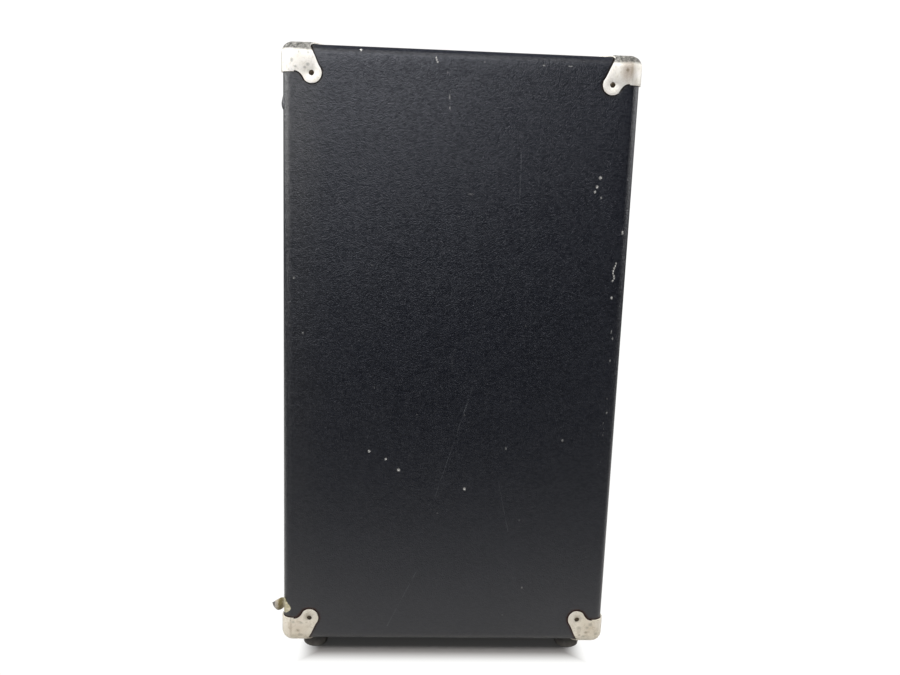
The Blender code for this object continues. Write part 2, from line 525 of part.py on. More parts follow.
pointer = block("knob_pointer", (POT_X - 0.0010, floor_y + 0.0035, DISH_Z + 0.0060), (POT_X + 0.0010, floor_y + 0.0166, DISH_Z + 0.0098), cutter=True)
boolean(knob, pointer, "UNION")

# ---------------------------------------------------------------- crossover
board_z = INNER_Z0 + GAP
bm_mat = Matrix.Translation((-0.150, 0.065, board_z + 0.0008))
slab("crossover_board", round_rect(0.075, 0.048, 0.004, 2), 0.0016, M_BOARD, matrix=bm_mat)
turned("crossover_coil", profile_mm([(27, 24), (27, 0.3), (11, 0.3), (11, 24)]), (-0.183, 0.065, board_z + 0.0016), "z", M_COPPER, steps=20, closed=True)
rod("crossover_capacitor", (-0.112, 0.065, board_z + 0.0016 + GAP + 0.0125), "x", 0.0125, 0.052, 20, cutter=False, mat=M_PLASTIC)

# ---------------------------------------------------------------- inner wires
wire("wire_jacks_to_crossover", [(-0.030, floor_y - 0.0275, DISH_Z), (-0.032, floor_y - 0.045, DISH_Z - 0.010), (-0.045, 0.125, 0.105), (-0.070, 0.100, 0.062), (-0.080, 0.078, board_z + 0.0085)], 0.0022, M_WIRE)
wire("wire_crossover_to_woofer", [(-0.139, 0.022, board_z + 0.0045), (-0.139, 0.000, 0.062), (-0.118, -0.030, 0.125), (-0.102, -0.062, 0.195), (-0.093, -0.078, 0.232)], 0.0022, M_WIRE)
wire("wire_crossover_to_horn", [(-0.205, 0.022, board_z + 0.0045), (-0.222, -0.010, 0.080), (-0.232, -0.040, 0.240), (-0.222, -0.052, 0.440), (-0.130, -0.045, 0.585), (-0.049, -0.040, 0.600)], 0.0022, M_WIRE, points=28)
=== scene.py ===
"""Looks of the bass speaker cabinet: covering, metal corners, feet, grille, woofer, horn, jack dish and handle."""

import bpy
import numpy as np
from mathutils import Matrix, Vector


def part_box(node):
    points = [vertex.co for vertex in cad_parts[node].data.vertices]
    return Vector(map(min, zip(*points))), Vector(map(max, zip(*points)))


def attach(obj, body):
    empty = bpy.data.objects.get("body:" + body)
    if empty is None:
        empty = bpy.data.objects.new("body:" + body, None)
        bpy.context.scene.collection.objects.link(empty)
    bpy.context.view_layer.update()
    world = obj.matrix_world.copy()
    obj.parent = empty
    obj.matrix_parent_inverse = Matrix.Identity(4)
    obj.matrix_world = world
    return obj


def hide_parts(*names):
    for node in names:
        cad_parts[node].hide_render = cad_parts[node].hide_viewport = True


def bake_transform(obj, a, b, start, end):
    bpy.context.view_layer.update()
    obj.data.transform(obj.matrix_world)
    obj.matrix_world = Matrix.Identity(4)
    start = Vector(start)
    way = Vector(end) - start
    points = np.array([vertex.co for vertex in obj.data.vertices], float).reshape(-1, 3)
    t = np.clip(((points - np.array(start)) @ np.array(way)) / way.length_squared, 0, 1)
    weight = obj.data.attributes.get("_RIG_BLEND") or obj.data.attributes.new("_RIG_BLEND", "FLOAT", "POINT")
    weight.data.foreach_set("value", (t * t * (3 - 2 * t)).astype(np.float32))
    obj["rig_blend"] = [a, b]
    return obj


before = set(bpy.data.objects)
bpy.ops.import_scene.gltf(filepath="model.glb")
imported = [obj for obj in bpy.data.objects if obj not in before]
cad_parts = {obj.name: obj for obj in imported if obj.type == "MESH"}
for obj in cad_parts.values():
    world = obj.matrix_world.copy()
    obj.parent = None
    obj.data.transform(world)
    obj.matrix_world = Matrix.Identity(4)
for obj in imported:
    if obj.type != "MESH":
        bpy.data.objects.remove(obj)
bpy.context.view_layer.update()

import math
import random

import bmesh
import bpy
import numpy as np
from mathutils import Matrix, Vector, noise

mm = 0.001
scene = bpy.context.scene
scene.view_settings.view_transform = "Standard"
scene.view_settings.look = "None"

# ------------------------------------------------------------------ the frame's own sizes
v_lo, v_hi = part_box("vinyl_covering")
HX, HY = v_hi.x, v_hi.y                      # half width and depth of the covered box
Z0, Z1 = v_lo.z, v_hi.z
ZM, HZ = (Z0 + Z1) / 2, (Z1 - Z0) / 2
EDGE_R = 11.5 * mm
b_lo, b_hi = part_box("baffle_board")
BAFFLE_Y = b_lo.y
k_lo, k_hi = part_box("back_panel")
BACK_Y = k_hi.y
SKIN, PLY = 1.3 * mm, 18 * mm
INNER = SKIN + PLY                           # from the covered face to a board's inside
c_lo, c_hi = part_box("corner_front_right_top")
PROUD = c_hi.x - HX                          # metal over covering
METAL = 1.5 * mm

# ------------------------------------------------------------------ camera
def photo_camera():
    """The camera stands off the +X side, a little above its middle, and looks slightly down."""
    f, rt, up = Vector((-1, 0, 0)), Vector((0, 1, 0)), Vector((0, 0, 1))
    yaw, pitch, roll = math.radians(-3.151), math.radians(10.711), math.radians(-2.011)
    m = Matrix.Rotation(yaw, 3, Vector((0, 0, 1)))
    f, rt, up = m @ f, m @ rt, m @ up
    m = Matrix.Rotation(-pitch, 3, rt)
    f, up = m @ f, m @ up
    m = Matrix.Rotation(roll, 3, f)
    rt, up = m @ rt, m @ up
    cam = bpy.data.objects.new("camera", bpy.data.cameras.new("camera"))
    cam.data.sensor_width, cam.data.sensor_fit, cam.data.lens = 36.0, "HORIZONTAL", 34.0
    cam.data.clip_start = 0.01
    scene.collection.objects.link(cam)
    at = Vector((HX + 0.9937, -0.0597, Z0 + 0.5834))
    cam.matrix_world = Matrix(((rt.x, up.x, -f.x, at.x), (rt.y, up.y, -f.y, at.y), (rt.z, up.z, -f.z, at.z), (0, 0, 0, 1)))
    scene.camera = cam


photo_camera()


# ------------------------------------------------------------------ shader helpers
class Nodes:
    """Short calls for building one node tree."""

    def __init__(self, tree):
        self.t = tree

    def add(self, kind, **props):
        n = self.t.nodes.new(kind)
        for k, v in props.items():
            setattr(n, k, v)
        return n

    def put(self, socket, value):
        if hasattr(value, "links") or isinstance(value, bpy.types.NodeSocket):
            self.t.links.new(value, socket)
        else:
            socket.default_value = value

    def math(self, op, a, b=0.0, c=0.0, clamp=False):
        n = self.add("ShaderNodeMath", operation=op, use_clamp=clamp)
        for s, v in zip(n.inputs, (a, b, c)):
            self.put(s, v)
        return n.outputs[0]

    def vmath(self, op, a, b=(0, 0, 0), scale=None):
        n = self.add("ShaderNodeVectorMath", operation=op)
        self.put(n.inputs[0], a)
        self.put(n.inputs[1], b)
        if scale is not None:
            self.put(n.inputs["Scale"], scale)
        return n.outputs["Value"] if op in ("LENGTH", "DOT_PRODUCT", "DISTANCE") else n.outputs[0]

    def coord(self):
        return self.add("ShaderNodeTexCoord").outputs["Object"]

    def mapping(self, vec, scale=(1, 1, 1), loc=(0, 0, 0), rot=(0, 0, 0)):
        n = self.add("ShaderNodeMapping")
        self.put(n.inputs["Vector"], vec)
        n.inputs["Scale"].default_value = scale
        n.inputs["Location"].default_value = loc
        n.inputs["Rotation"].default_value = rot
        return n.outputs[0]

    def noise(self, vec, scale, detail=2.0, rough=0.5, distortion=0.0, out="Fac"):
        n = self.add("ShaderNodeTexNoise")
        self.put(n.inputs["Vector"], vec)
        n.inputs["Scale"].default_value = scale
        n.inputs["Detail"].default_value = detail
        n.inputs["Roughness"].default_value = rough
        n.inputs["Distortion"].default_value = distortion
        return n.outputs[out]

    def voronoi(self, vec, scale, feature="F1", rand=1.0, out="Distance", smooth=None):
        n = self.add("ShaderNodeTexVoronoi", feature=feature)
        self.put(n.inputs["Vector"], vec)
        n.inputs["Scale"].default_value = scale
        n.inputs["Randomness"].default_value = rand
        if smooth is not None:
            n.inputs["Smoothness"].default_value = smooth
        return n.outputs[out]

    def ramp(self, fac, stops, interp="LINEAR"):
        n = self.add("ShaderNodeValToRGB")
        self.put(n.inputs[0], fac)
        e = n.color_ramp.elements
        n.color_ramp.interpolation = interp
        while len(e) > 1:
            e.remove(e[0])
        for i, (p, c) in enumerate(stops):
            el = e[0] if i == 0 else e.new(p)
            el.position = p
            el.color = (*c, 1) if hasattr(c, "__len__") else (c, c, c, 1)
        return n.outputs[0]

    def range(self, v, a, b, c=0.0, d=1.0, kind="LINEAR"):
        n = self.add("ShaderNodeMapRange", interpolation_type=kind)
        for s, x in zip(n.inputs, (v, a, b, c, d)):
            self.put(s, x)
        return n.outputs[0]

    def mix(self, fac, a, b, blend="MIX"):
        n = self.add("ShaderNodeMix", data_type="RGBA", blend_type=blend)
        self.put(n.inputs[0], fac)
        for s, v in ((n.inputs[6], a), (n.inputs[7], b)):
            self.put(s, (*v, 1) if isinstance(v, tuple) and len(v) == 3 else v)
        return n.outputs[2]

    def bump(self, height, strength, distance, normal=None):
        n = self.add("ShaderNodeBump")
        n.inputs["Strength"].default_value = strength
        n.inputs["Distance"].default_value = distance
        self.put(n.inputs["Height"], height)
        if normal is not None:
            self.put(n.inputs["Normal"], normal)
        return n.outputs[0]


def new_material(name):
    m = bpy.data.materials.new(name)
    m.use_nodes = True
    n = Nodes(m.node_tree)
    return m, n, m.node_tree.nodes["Principled BSDF"]


def finish_material(n, p, color=None, rough=None, metal=None, normal=None, **sockets):
    for key, v in (("Base Color", color), ("Roughness", rough), ("Metallic", metal), ("Normal", normal)):
        if v is not None:
            n.put(p.inputs[key], (*v, 1) if isinstance(v, tuple) and len(v) == 3 else v)
    for key, v in sockets.items():
        p.inputs[key.replace("_", " ")].default_value = v


def crossing(n, vec, scale, width, warp=0.0):
    """Thin wandering lines: where a soft noise crosses its middle value."""
    f = n.noise(vec, scale, 2.0, 0.5, warp)
    return n.range(n.math("ABSOLUTE", n.math("SUBTRACT", f, 0.5)), 0.0, width, 1.0, 0.0)


def spots(n, p, marks, edge=0.35):
    """A mask of small marks (y, z, half width, half height), their edges broken up by noise; p is in metres."""
    near = None
    for y, z, ry, rz in marks:
        d = n.vmath("LENGTH", n.vmath("MULTIPLY", n.vmath("SUBTRACT", p, (0, y, z)), (0, 1 / ry, 1 / rz)))
        near = d if near is None else n.math("MINIMUM", near, d)
    rough = n.math("MULTIPLY", n.math("SUBTRACT", n.noise(p, 900, 3.0, 0.7), 0.5), 1.5)
    return n.range(n.math("ADD", near, rough), 1.0 - edge, 1.0 + edge * 0.4, 1.0, 0.0)


def line_mask(n, p, a, b, half, wander=0.0006):
    """A mask of a straight, slightly wandering scratch from a to b (y, z)."""
    A, B = Vector((0, *a)), Vector((0, *b))
    u = (B - A).normalized()
    rel = n.vmath("SUBTRACT", p, tuple(A))
    t = n.math("MINIMUM", n.math("MAXIMUM", n.vmath("DOT_PRODUCT", rel, tuple(u)), 0.0), (B - A).length)
    foot = n.vmath("SCALE", tuple(u), scale=t)
    d = n.vmath("LENGTH", n.vmath("SUBTRACT", rel, foot))
    d = n.math("ADD", d, n.math("MULTIPLY", n.math("SUBTRACT", n.noise(p, 60, 2.0, 0.5), 0.5), wander))
    fade = n.range(n.noise(p, 45, 3.0, 0.6), 0.38, 0.60, 0.0, 1.0)
    return n.math("MULTIPLY", n.range(d, half * 0.3, half, 1.0, 0.0), fade)


EAR_CENTRE, EAR_REACH = (0.0330, 0.0320), 0.0113
EAR_EDGE = [((0.0302, -0.004), (0.0345, 0.0095)), ((0.0345, 0.0095), (0.0408, 0.0235)), ((0.0257, 0.0405), (0.0190, 0.0318)),
            ((0.0190, 0.0318), (0.0150, 0.0303)), ((0.0150, 0.0303), (-0.004, 0.0314))]


def shade_and_grime_outline(n, c):
    """Painted shade and grime on the covering along the edge of each corner plate, in the plane of the sides."""
    p = n.vmath("SUBTRACT", (0, HY, HZ), n.vmath("MULTIPLY", n.vmath("ABSOLUTE", n.vmath("SUBTRACT", c, (0, 0, ZM))), (0, 1, 1)))
    near = n.math("ABSOLUTE", n.math("SUBTRACT", n.vmath("DISTANCE", p, (0, *EAR_CENTRE)), EAR_REACH))
    for a, b in EAR_EDGE:
        A, B = Vector((0, *a)), Vector((0, *b))
        rel = n.vmath("SUBTRACT", p, tuple(A))
        t = n.math("MINIMUM", n.math("MAXIMUM", n.math("DIVIDE", n.vmath("DOT_PRODUCT", rel, tuple(B - A)), (B - A).length_squared), 0.0), 1.0)
        near = n.math("MINIMUM", near, n.vmath("LENGTH", n.vmath("SUBTRACT", rel, n.vmath("SCALE", tuple(B - A), scale=t))))
    height = n.vmath("DOT_PRODUCT", c, (0, 0, 1))
    uneven = n.range(n.noise(c, 220, 3.0, 0.6), 0.3, 0.7, n.range(height, 0.2, 0.5, 0.0024, 0.0016), n.range(height, 0.2, 0.5, 0.0046, 0.0030))
    return n.math("MULTIPLY", n.range(near, 0.0004, uneven, 1.0, 0.0), n.math("GREATER_THAN", n.vmath("DOT_PRODUCT", c, (1, 0, 0)), HX - 0.012))


# Nicks and scuffs of the side that shows, (y, z above the box's bottom, half width, half height) in mm
NICKS = [(-115.6, 719.3, 1.7, 0.8), (-115.2, 718.6, 0.7, 1.5), (-62.3, 228.4, 1.8, 1.9), (-98.7, 251.8, 1.5, 1.8), (19.4, 205.3, 1.7, 1.9), (163.4, 588.1, 1.7, 1.9), (186.2, 448.2, 1.2, 1.9), (160.1, 577.5, 1.5, 1.8),
         (157.9, 571.6, 1.3, 1.8), (-78.1, 242.2, 1.4, 1.6), (188.5, 489.2, 1.0, 1.3), (187.8, 486.2, 0.9, 1.6), (186.8, 483.2, 1.0, 1.6), (186.2, 480.2, 1.0, 1.6),
         (185.9, 477.3, 0.9, 1.6), (187.0, 474.3, 1.1, 1.5), (187.6, 471.6, 0.9, 1.3), (186.1, 468.8, 1.2, 1.4), (-31.4, 713.8, 0.8, 1.5), (-30.6, 711.4, 0.9, 1.4),
         (-29.7, 709.1, 1.0, 1.0), (193.7, 525.5, 1.3, 2.2)]
FAINT_NICKS = [(137.6, 270.0, 1.4, 1.7), (90.3, 710.2, 1.3, 1.1), (-189.5, 461.5, 1.1, 1.5), (-14.9, 671.8, 0.9, 2.6), (189.6, 371.5, 1.0, 1.4), (165.6, 565.1, 1.2, 1.5),
               (188.7, 406.8, 0.7, 2.4), (190.9, 398.8, 1.1, 1.6), (68.4, 258.3, 1.3, 1.5), (-179.1, 396.4, 1.2, 1.3), (97.3, 74.8, 1.0, 1.3), (120.5, 710.6, 2.6, 0.7),
               (190.1, 306.4, 0.8, 1.6), (-14.2, 659.8, 0.8, 1.9)]
GREY_STAINS = [(-192.0, 704.7, 1.7, 2.1), (-184.2, 714.2, 1.5, 1.6), (-174.2, 700.8, 2.2, 1.9), (-177.4, 697.4, 1.7, 1.4), (-173.7, 713.7, 2.0, 1.6), (-187.6, 698.0, 1.8, 1.5),
               (-190.1, 26.5, 2.0, 1.8), (-180.5, 25.3, 2.2, 1.8), (-193.5, 29.0, 0.7, 2.6), (187.8, 25.3, 2.6, 2.6), (184.0, 21.0, 2.4, 1.8), (195.3, 12.2, 2.2, 2.2), (173.2, 20.5, 3.2, 2.4), (180.0, 9.0, 2.6, 1.6), (-181.0, 9.0, 4.0, 2.0)]
BROWN_STAINS = [(-184.2, 15.1, 2.4, 1.9), (182.9, 14.5, 2.4, 1.8), (174.3, 10.8, 1.7, 1.4), (-171.6, 33.6, 5.2, 4.6), (171.1, 33.0, 4.6, 4.6), (186.0, 709.0, 1.8, 2.2),
                (-188.0, 33.0, 4.5, 0.9)]
# soft brownish shade painted on the plates just inside their bend, (y, z above the box's bottom, half width, half
# height) in mm
BEND_SHADE = [(186.5, 707.0, 7.5, 12.0), (-184.0, 18.0, 13.0, 15.0), (186.0, 20.0, 12.0, 14.0)]
DIM_NICKS = [(15.8, 300.0, 0.9, 1.2), (13.0, 564.2, 3.2, 1.2), (186.8, 293.1, 1.0, 1.1), (-13.0, 173.2, 1.2, 1.1), (85.1, 411.2, 1.0, 1.1), (74.2, 36.9, 1.0, 1.1),
             (0.5, 538.2, 1.0, 1.1), (-99.2, 478.6, 1.0, 1.1), (89.3, 165.2, 0.9, 1.7), (-18.2, 698.2, 1.0, 1.2), (189.5, 324.1, 1.0, 1.4), (-41.8, 299.3, 1.1, 0.9),
             (-93.6, 331.7, 0.8, 1.3), (187.3, 277.7, 0.9, 1.3), (23.3, 711.4, 1.1, 1.1), (-14.2, 677.8, 0.8, 1.0)]
SCRATCHES = [((24.4, 334.7), (-21.7, 176.9), 0.75), ((-16.0, 697.9), (-13.5, 657.2), 0.6), ((69.7, 613.9), (71.0, 522.8), 0.6),
             ((-37.4, 94.6), (-72.2, 20.6), 0.7), ((-92.0, 300.0), (-101.0, 268.0), 0.5), ((60.0, 220.0), (76.0, 150.0), 0.5)]


def vinyl_material(name, side_marks=False):
    """Black pebbled vinyl: leather-like grain, faint dust, and on the covering its nicks and scratches, painted shade
    with grime round the corner plates and a painted sheen near the front edge.
    """
    m, n, p = new_material(name)
    c = n.coord()
    warp = n.vmath("SCALE", n.vmath("SUBTRACT", n.noise(c, 170, 2.0, 0.5, out="Color"), (0.5, 0.5, 0.5)), scale=0.0022)
    w = n.vmath("ADD", c, warp)
    pebble = n.voronoi(w, 600, "SMOOTH_F1", 1.0, smooth=0.3)
    crease = n.voronoi(n.mapping(w, (1, 0.8, 1.25)), 470, "DISTANCE_TO_EDGE", 1.0)
    crease = n.range(crease, 0.0, 0.22, 0.0, 1.0)
    fine = n.noise(c, 2600, 2.0, 0.6)
    wrinkle = n.noise(n.mapping(w, (1, 0.62, 1.35)), 330, 1.0, 0.5, 0.3)
    height = n.math("ADD", n.math("MULTIPLY", pebble, -0.9), n.math("MULTIPLY", crease, 0.55))
    height = n.math("ADD", height, n.math("ADD", n.math("MULTIPLY", fine, 0.12), n.math("MULTIPLY", wrinkle, 0.38)))
    sag = n.noise(c, 9, 2.0, 0.45)
    soft = n.bump(sag, 0.30, 0.0020)
    if side_marks:
        # painted shade with grime: a dark line round each corner plate, also made dull through metallic
        plate_edge_shade_and_grime = shade_and_grime_outline(n, c)
        height = n.math("SUBTRACT", height, n.math("MULTIPLY", plate_edge_shade_and_grime, 1.6))
    grain = n.bump(height, 1.0, 0.000145, soft)
    blotch = n.noise(c, 14, 4.0, 0.6)
    color = n.mix(n.range(blotch, 0.35, 0.7), (0.0020, 0.0030, 0.0070), (0.0029, 0.0040, 0.0086))
    color = n.mix(n.range(wrinkle, 0.45, 0.68, 0.0, 0.5), color, (0.0075, 0.0086, 0.0130))
    valley = n.range(wrinkle, 0.30, 0.60, 1.0, 0.0)
    tall = n.range(n.vmath("DOT_PRODUCT", c, (0, 0, 1)), Z0 + 0.08, Z0 + 0.40, 0.06, 0.30)
    metal = n.math("MULTIPLY", valley, tall)
    color = n.mix(n.range(crease, 0.0, 0.5, 0.35, 0.0), color, (0.004, 0.004, 0.005))
    dust = n.range(n.voronoi(c, 230, "F1", 1.0), 0.0, 0.075, 1.0, 0.0)
    dust = n.math("MULTIPLY", dust, n.range(n.noise(c, 22, 2.0, 0.5), 0.55, 0.72))
    color = n.mix(n.math("MULTIPLY", dust, 0.20), color, (0.26, 0.25, 0.23))
    scuff = crossing(n, n.mapping(c, (1, 1, 0.35)), 26, 0.0035, 0.4)
    scuff = n.math("MULTIPLY", scuff, n.range(n.noise(c, 7, 2.0, 0.5), 0.55, 0.75))
    color = n.mix(n.math("MULTIPLY", scuff, 0.16), color, (0.12, 0.12, 0.12))
    rough = n.range(n.noise(c, 40, 3.0, 0.6), 0.3, 0.7, 0.28, 0.33)
    if side_marks:
        upward = n.range(n.vmath("DOT_PRODUCT", n.add("ShaderNodeNewGeometry").outputs["Normal"], (0, 0, 1)), 0.95, 0.998)
        upward = n.math("MULTIPLY", upward, n.range(n.noise(c, 5, 4.0, 0.6), 0.3, 0.7, 0.75, 1.0))
        rough = n.math("MAXIMUM", rough, n.math("MULTIPLY", upward, 0.62))
        color = n.mix(n.math("MULTIPLY", upward, 0.5), color, (0.030, 0.029, 0.027))
        # lighter near the front edge and more so toward the top: rubbing wear with a painted sheen
        rub_and_sheen = n.range(n.vmath("DOT_PRODUCT", c, (0, 1, 0)), -HY + 0.012, -HY + 0.060, 1.0, 0.0, kind="SMOOTHSTEP")
        rub_and_sheen = n.math("MULTIPLY", rub_and_sheen, n.range(n.vmath("DOT_PRODUCT", c, (0, 0, 1)), Z0 + 0.50, Z0 + 0.60, 0.16, 0.52))
        rub_and_sheen = n.math("MULTIPLY", rub_and_sheen, n.range(n.noise(c, 60, 4.0, 0.65), 0.35, 0.65, 0.6, 1.0))
        color = n.mix(rub_and_sheen, color, (0.030, 0.029, 0.027))
        sep = n.add("ShaderNodeSeparateXYZ")
        n.put(sep.inputs[0], c)
        gate = n.math("GREATER_THAN", sep.outputs[0], HX - 0.010)
        at = n.vmath("SUBTRACT", n.vmath("MULTIPLY", c, (0, 1, 1)), (0, 0, Z0))
        nick = n.math("MULTIPLY", spots(n, at, [(y * mm, z * mm, a * mm, b * mm) for y, z, a, b in NICKS], edge=0.75), gate)
        faint = n.math("MULTIPLY", spots(n, at, [(y * mm, z * mm, a * mm, b * mm) for y, z, a, b in FAINT_NICKS], edge=0.8), gate)
        dim = n.math("MULTIPLY", spots(n, at, [(y * mm, z * mm, a * mm, b * mm) for y, z, a, b in DIM_NICKS], edge=0.8), gate)
        band_y = n.range(n.math("ABSOLUTE", n.math("SUBTRACT", sep.outputs[1], 0.186)), 0.002, 0.0075, 1.0, 0.0)
        band_z = n.range(n.math("ABSOLUTE", n.math("SUBTRACT", sep.outputs[2], Z0 + 0.262)), 0.020, 0.060, 1.0, 0.0)
        speck = n.range(n.voronoi(c, 420, "F1", 1.0), 0.05, 0.16, 1.0, 0.0)
        speck = n.math("MULTIPLY", n.math("MULTIPLY", speck, n.math("MULTIPLY", band_y, band_z)), gate)
        lines = None
        for a, b, half in SCRATCHES:
            s = line_mask(n, at, (a[0] * mm, a[1] * mm), (b[0] * mm, b[1] * mm), half * mm)
            lines = s if lines is None else n.math("MAXIMUM", lines, s)
        lines = n.math("MULTIPLY", lines, gate)
        # the painted shade and grime round the plates, browner toward the bottom
        color = n.mix(plate_edge_shade_and_grime, color, n.mix(n.range(sep.outputs[2], 0.2, 0.5), (0.052, 0.024, 0.019), (0.030, 0.023, 0.019)))
        rough = n.math("MAXIMUM", rough, n.math("MULTIPLY", plate_edge_shade_and_grime, 0.6))
        color = n.mix(n.math("MULTIPLY", lines, 0.22), color, (0.20, 0.21, 0.22))
        color = n.mix(n.math("MULTIPLY", dim, 0.9), color, (0.075, 0.075, 0.074))
        color = n.mix(n.math("MULTIPLY", faint, 0.95), color, (0.20, 0.20, 0.19))
        color = n.mix(n.math("MULTIPLY", speck, 0.5), color, (0.40, 0.38, 0.34))
        color = n.mix(n.math("MULTIPLY", nick, 0.95), color, n.mix(n.noise(c, 1500, 2.0, 0.6), (0.34, 0.335, 0.315), (0.54, 0.53, 0.50)))
        rough = n.math("MAXIMUM", rough, n.math("MULTIPLY", nick, 0.9))
    finish_material(n, p, color, rough, n.math("MAXIMUM", plate_edge_shade_and_grime, metal) if side_marks else metal, grain)
    p.inputs["Specular IOR Level"].default_value = 1.0
    return m


def nickel_material():
    """Nickel plate on pressed steel, dulled, with brown-grey stains, pits and fine scratches, and with painted shade
    and dark reflections on its roundings and bends.
    """
    m, n, p = new_material("tarnished_nickel")
    c = n.coord()
    sep = n.add("ShaderNodeSeparateXYZ")
    n.put(sep.inputs[0], c)
    cloud = n.noise(c, 60, 5.0, 0.62, 0.3)
    stain = n.range(n.noise(c, 150, 5.0, 0.7, 0.8), 0.50, 0.66)
    pits = n.range(n.voronoi(c, 900, "F1", 1.0), 0.0, 0.16, 1.0, 0.0)
    pits = n.math("MULTIPLY", pits, n.range(n.noise(c, 210, 3.0, 0.6), 0.45, 0.62))
    color = n.mix(n.range(cloud, 0.35, 0.65), (0.99, 0.955, 0.90), (0.92, 0.88, 0.79))
    color = n.mix(n.math("MULTIPLY", stain, n.range(sep.outputs[2], 0.2, 0.6, 0.5, 0.3)), color, (0.36, 0.30, 0.21))
    color = n.mix(n.math("MULTIPLY", pits, 0.75), color, (0.13, 0.11, 0.085))
    at = n.vmath("SUBTRACT", n.vmath("MULTIPLY", c, (0, 1, 1)), (0, 0, Z0))
    gate = n.math("GREATER_THAN", sep.outputs[0], HX - 0.004)
    # the first three sets are painted shade: brownish shade just inside each plate's bend and a darker line along the
    # bend; the last two are grey and brown stains
    for marks, strength, tone in ((BEND_SHADE, 0.34, (0.50, 0.37, 0.24)), ([(186.0, 709.0, 7.0, 12.5)], 0.55, (0.30, 0.22, 0.155)), ([(-193.2, 19.0, 1.9, 12.0), (191.0, 709.0, 2.2, 11.5)], 0.55, (0.30, 0.22, 0.15)), (GREY_STAINS, 0.62, (0.26, 0.26, 0.23)), (BROWN_STAINS, 0.75, (0.17, 0.125, 0.075))):
        m_here = spots(n, at, [(y * mm, z * mm, a * mm, b * mm) for y, z, a, b in marks], edge=0.85)
        color = n.mix(n.math("MULTIPLY", n.math("MULTIPLY", m_here, gate), strength), color, tone)
    low = n.range(sep.outputs[2], 0.10, 0.30, 1.0, 0.0)
    color = n.mix(n.math("MULTIPLY", low, 0.34), color, (0.56, 0.47, 0.30))
    hair = n.math("MAXIMUM", crossing(n, n.mapping(c, (1, 0.25, 1.7), rot=(0.3, 0.9, 0.5)), 420, 0.012, 0.2),
                  crossing(n, n.mapping(c, (1.8, 1, 0.3), rot=(1.1, 0.2, 0.4)), 380, 0.010, 0.2))
    hair = n.math("MULTIPLY", hair, n.range(n.noise(c, 80, 2.0, 0.5), 0.45, 0.65))
    color = n.mix(n.math("MULTIPLY", hair, 0.35), color, (0.45, 0.42, 0.37))
    turned = n.add("ShaderNodeSeparateXYZ")
    n.put(turned.inputs[0], n.add("ShaderNodeNewGeometry").outputs["Normal"])
    # painted dark reflection, mottled, on the upward-facing rounding of the upper plates
    painted_dark_top = n.math("MULTIPLY", n.range(turned.outputs[2], 0.22, 0.46), n.range(turned.outputs[2], 0.985, 0.999, 1.0, 0.15))
    painted_dark_top = n.math("MULTIPLY", n.math("MULTIPLY", painted_dark_top, n.math("GREATER_THAN", sep.outputs[2], ZM)), n.range(n.noise(c, 300, 4.0, 0.7), 0.30, 0.60, 0.70, 1.0))
    color = n.mix(painted_dark_top, color, (0.026, 0.026, 0.022))
    # painted shade on the part of each rounding that turns toward the front or back
    painted_dark_flank = n.math("ABSOLUTE", turned.outputs[1])
    painted_dark_flank = n.math("MULTIPLY", n.range(painted_dark_flank, 0.88, 0.96), n.range(painted_dark_flank, 0.990, 0.9995, 1.0, 0.0))
    color = n.mix(n.math("MULTIPLY", painted_dark_flank, 0.75), color, (0.16, 0.155, 0.14))
    stain_and_painted_dark = n.math("MAXIMUM", n.math("MULTIPLY", stain, 0.5), n.math("MAXIMUM", painted_dark_top, painted_dark_flank))
    rough = n.math("ADD", n.range(cloud, 0.3, 0.7, 0.48, 0.60), n.math("MULTIPLY", stain_and_painted_dark, 0.2))
    metal = n.math("SUBTRACT", 0.64, n.math("MULTIPLY", stain_and_painted_dark, 0.6))
    dents = n.bump(n.noise(c, 75, 2.0, 0.5), 0.15, 0.0008)
    normal = n.bump(n.math("ADD", n.math("MULTIPLY", pits, -0.6), n.math("MULTIPLY", n.noise(c, 1400, 3.0, 0.6), 0.3)), 0.25, 0.0002, dents)
    finish_material(n, p, color, rough, metal, normal)
    return m


def simple_material(name, a, b, rough, metal=0.0, scale=60.0, grain=900.0, bump=0.2, depth=0.0002, dirt=0.0, spec=0.5):
    """Two close tones, a fine surface grain and a little dust for moulded, painted or plated parts."""
    m, n, p = new_material(name)
    c = n.coord()
    color = n.mix(n.range(n.noise(c, scale, 4.0, 0.6), 0.35, 0.65), a, b)
    if dirt:
        d = n.range(n.noise(c, scale * 1.7, 5.0, 0.7, 0.5), 0.56, 0.72)
        color = n.mix(n.math("MULTIPLY", d, dirt), color, (0.20, 0.18, 0.15))
    r = n.range(n.noise(c, scale * 2.3, 3.0, 0.6), 0.3, 0.7, max(rough - 0.07, 0.05), min(rough + 0.07, 1.0))
    finish_material(n, p, color, r, None, n.bump(n.noise(c, grain, 3.0, 0.6), bump, depth))
    p.inputs["Metallic"].default_value = metal
    p.inputs["Specular IOR Level"].default_value = spec
    return m


def foot_material():
    """Grey-black rubber, lighter toward the ground: floor dust with a painted reflection of the pale floor."""
    m, n, p = new_material("foot_rubber")
    c = n.coord()
    color = n.mix(n.range(n.noise(c, 90, 4.0, 0.6), 0.35, 0.65), (0.040, 0.038, 0.036), (0.070, 0.066, 0.060))
    level = n.math("ADD", n.vmath("DOT_PRODUCT", c, (0, 0, 1)), n.range(n.noise(c, 170, 3.0, 0.6), 0.3, 0.7, -0.0014, 0.0014))
    # lighter toward the ground: dust and a painted reflection of the floor
    color = n.mix(n.range(level, 0.003, 0.011, 0.75, 0.0), color, (0.20, 0.185, 0.165))
    rough = n.range(n.noise(c, 210, 3.0, 0.6), 0.3, 0.7, 0.72, 0.88)
    finish_material(n, p, color, rough, None, n.bump(n.noise(c, 1100, 3.0, 0.6), 0.35, 0.0002))
    return m


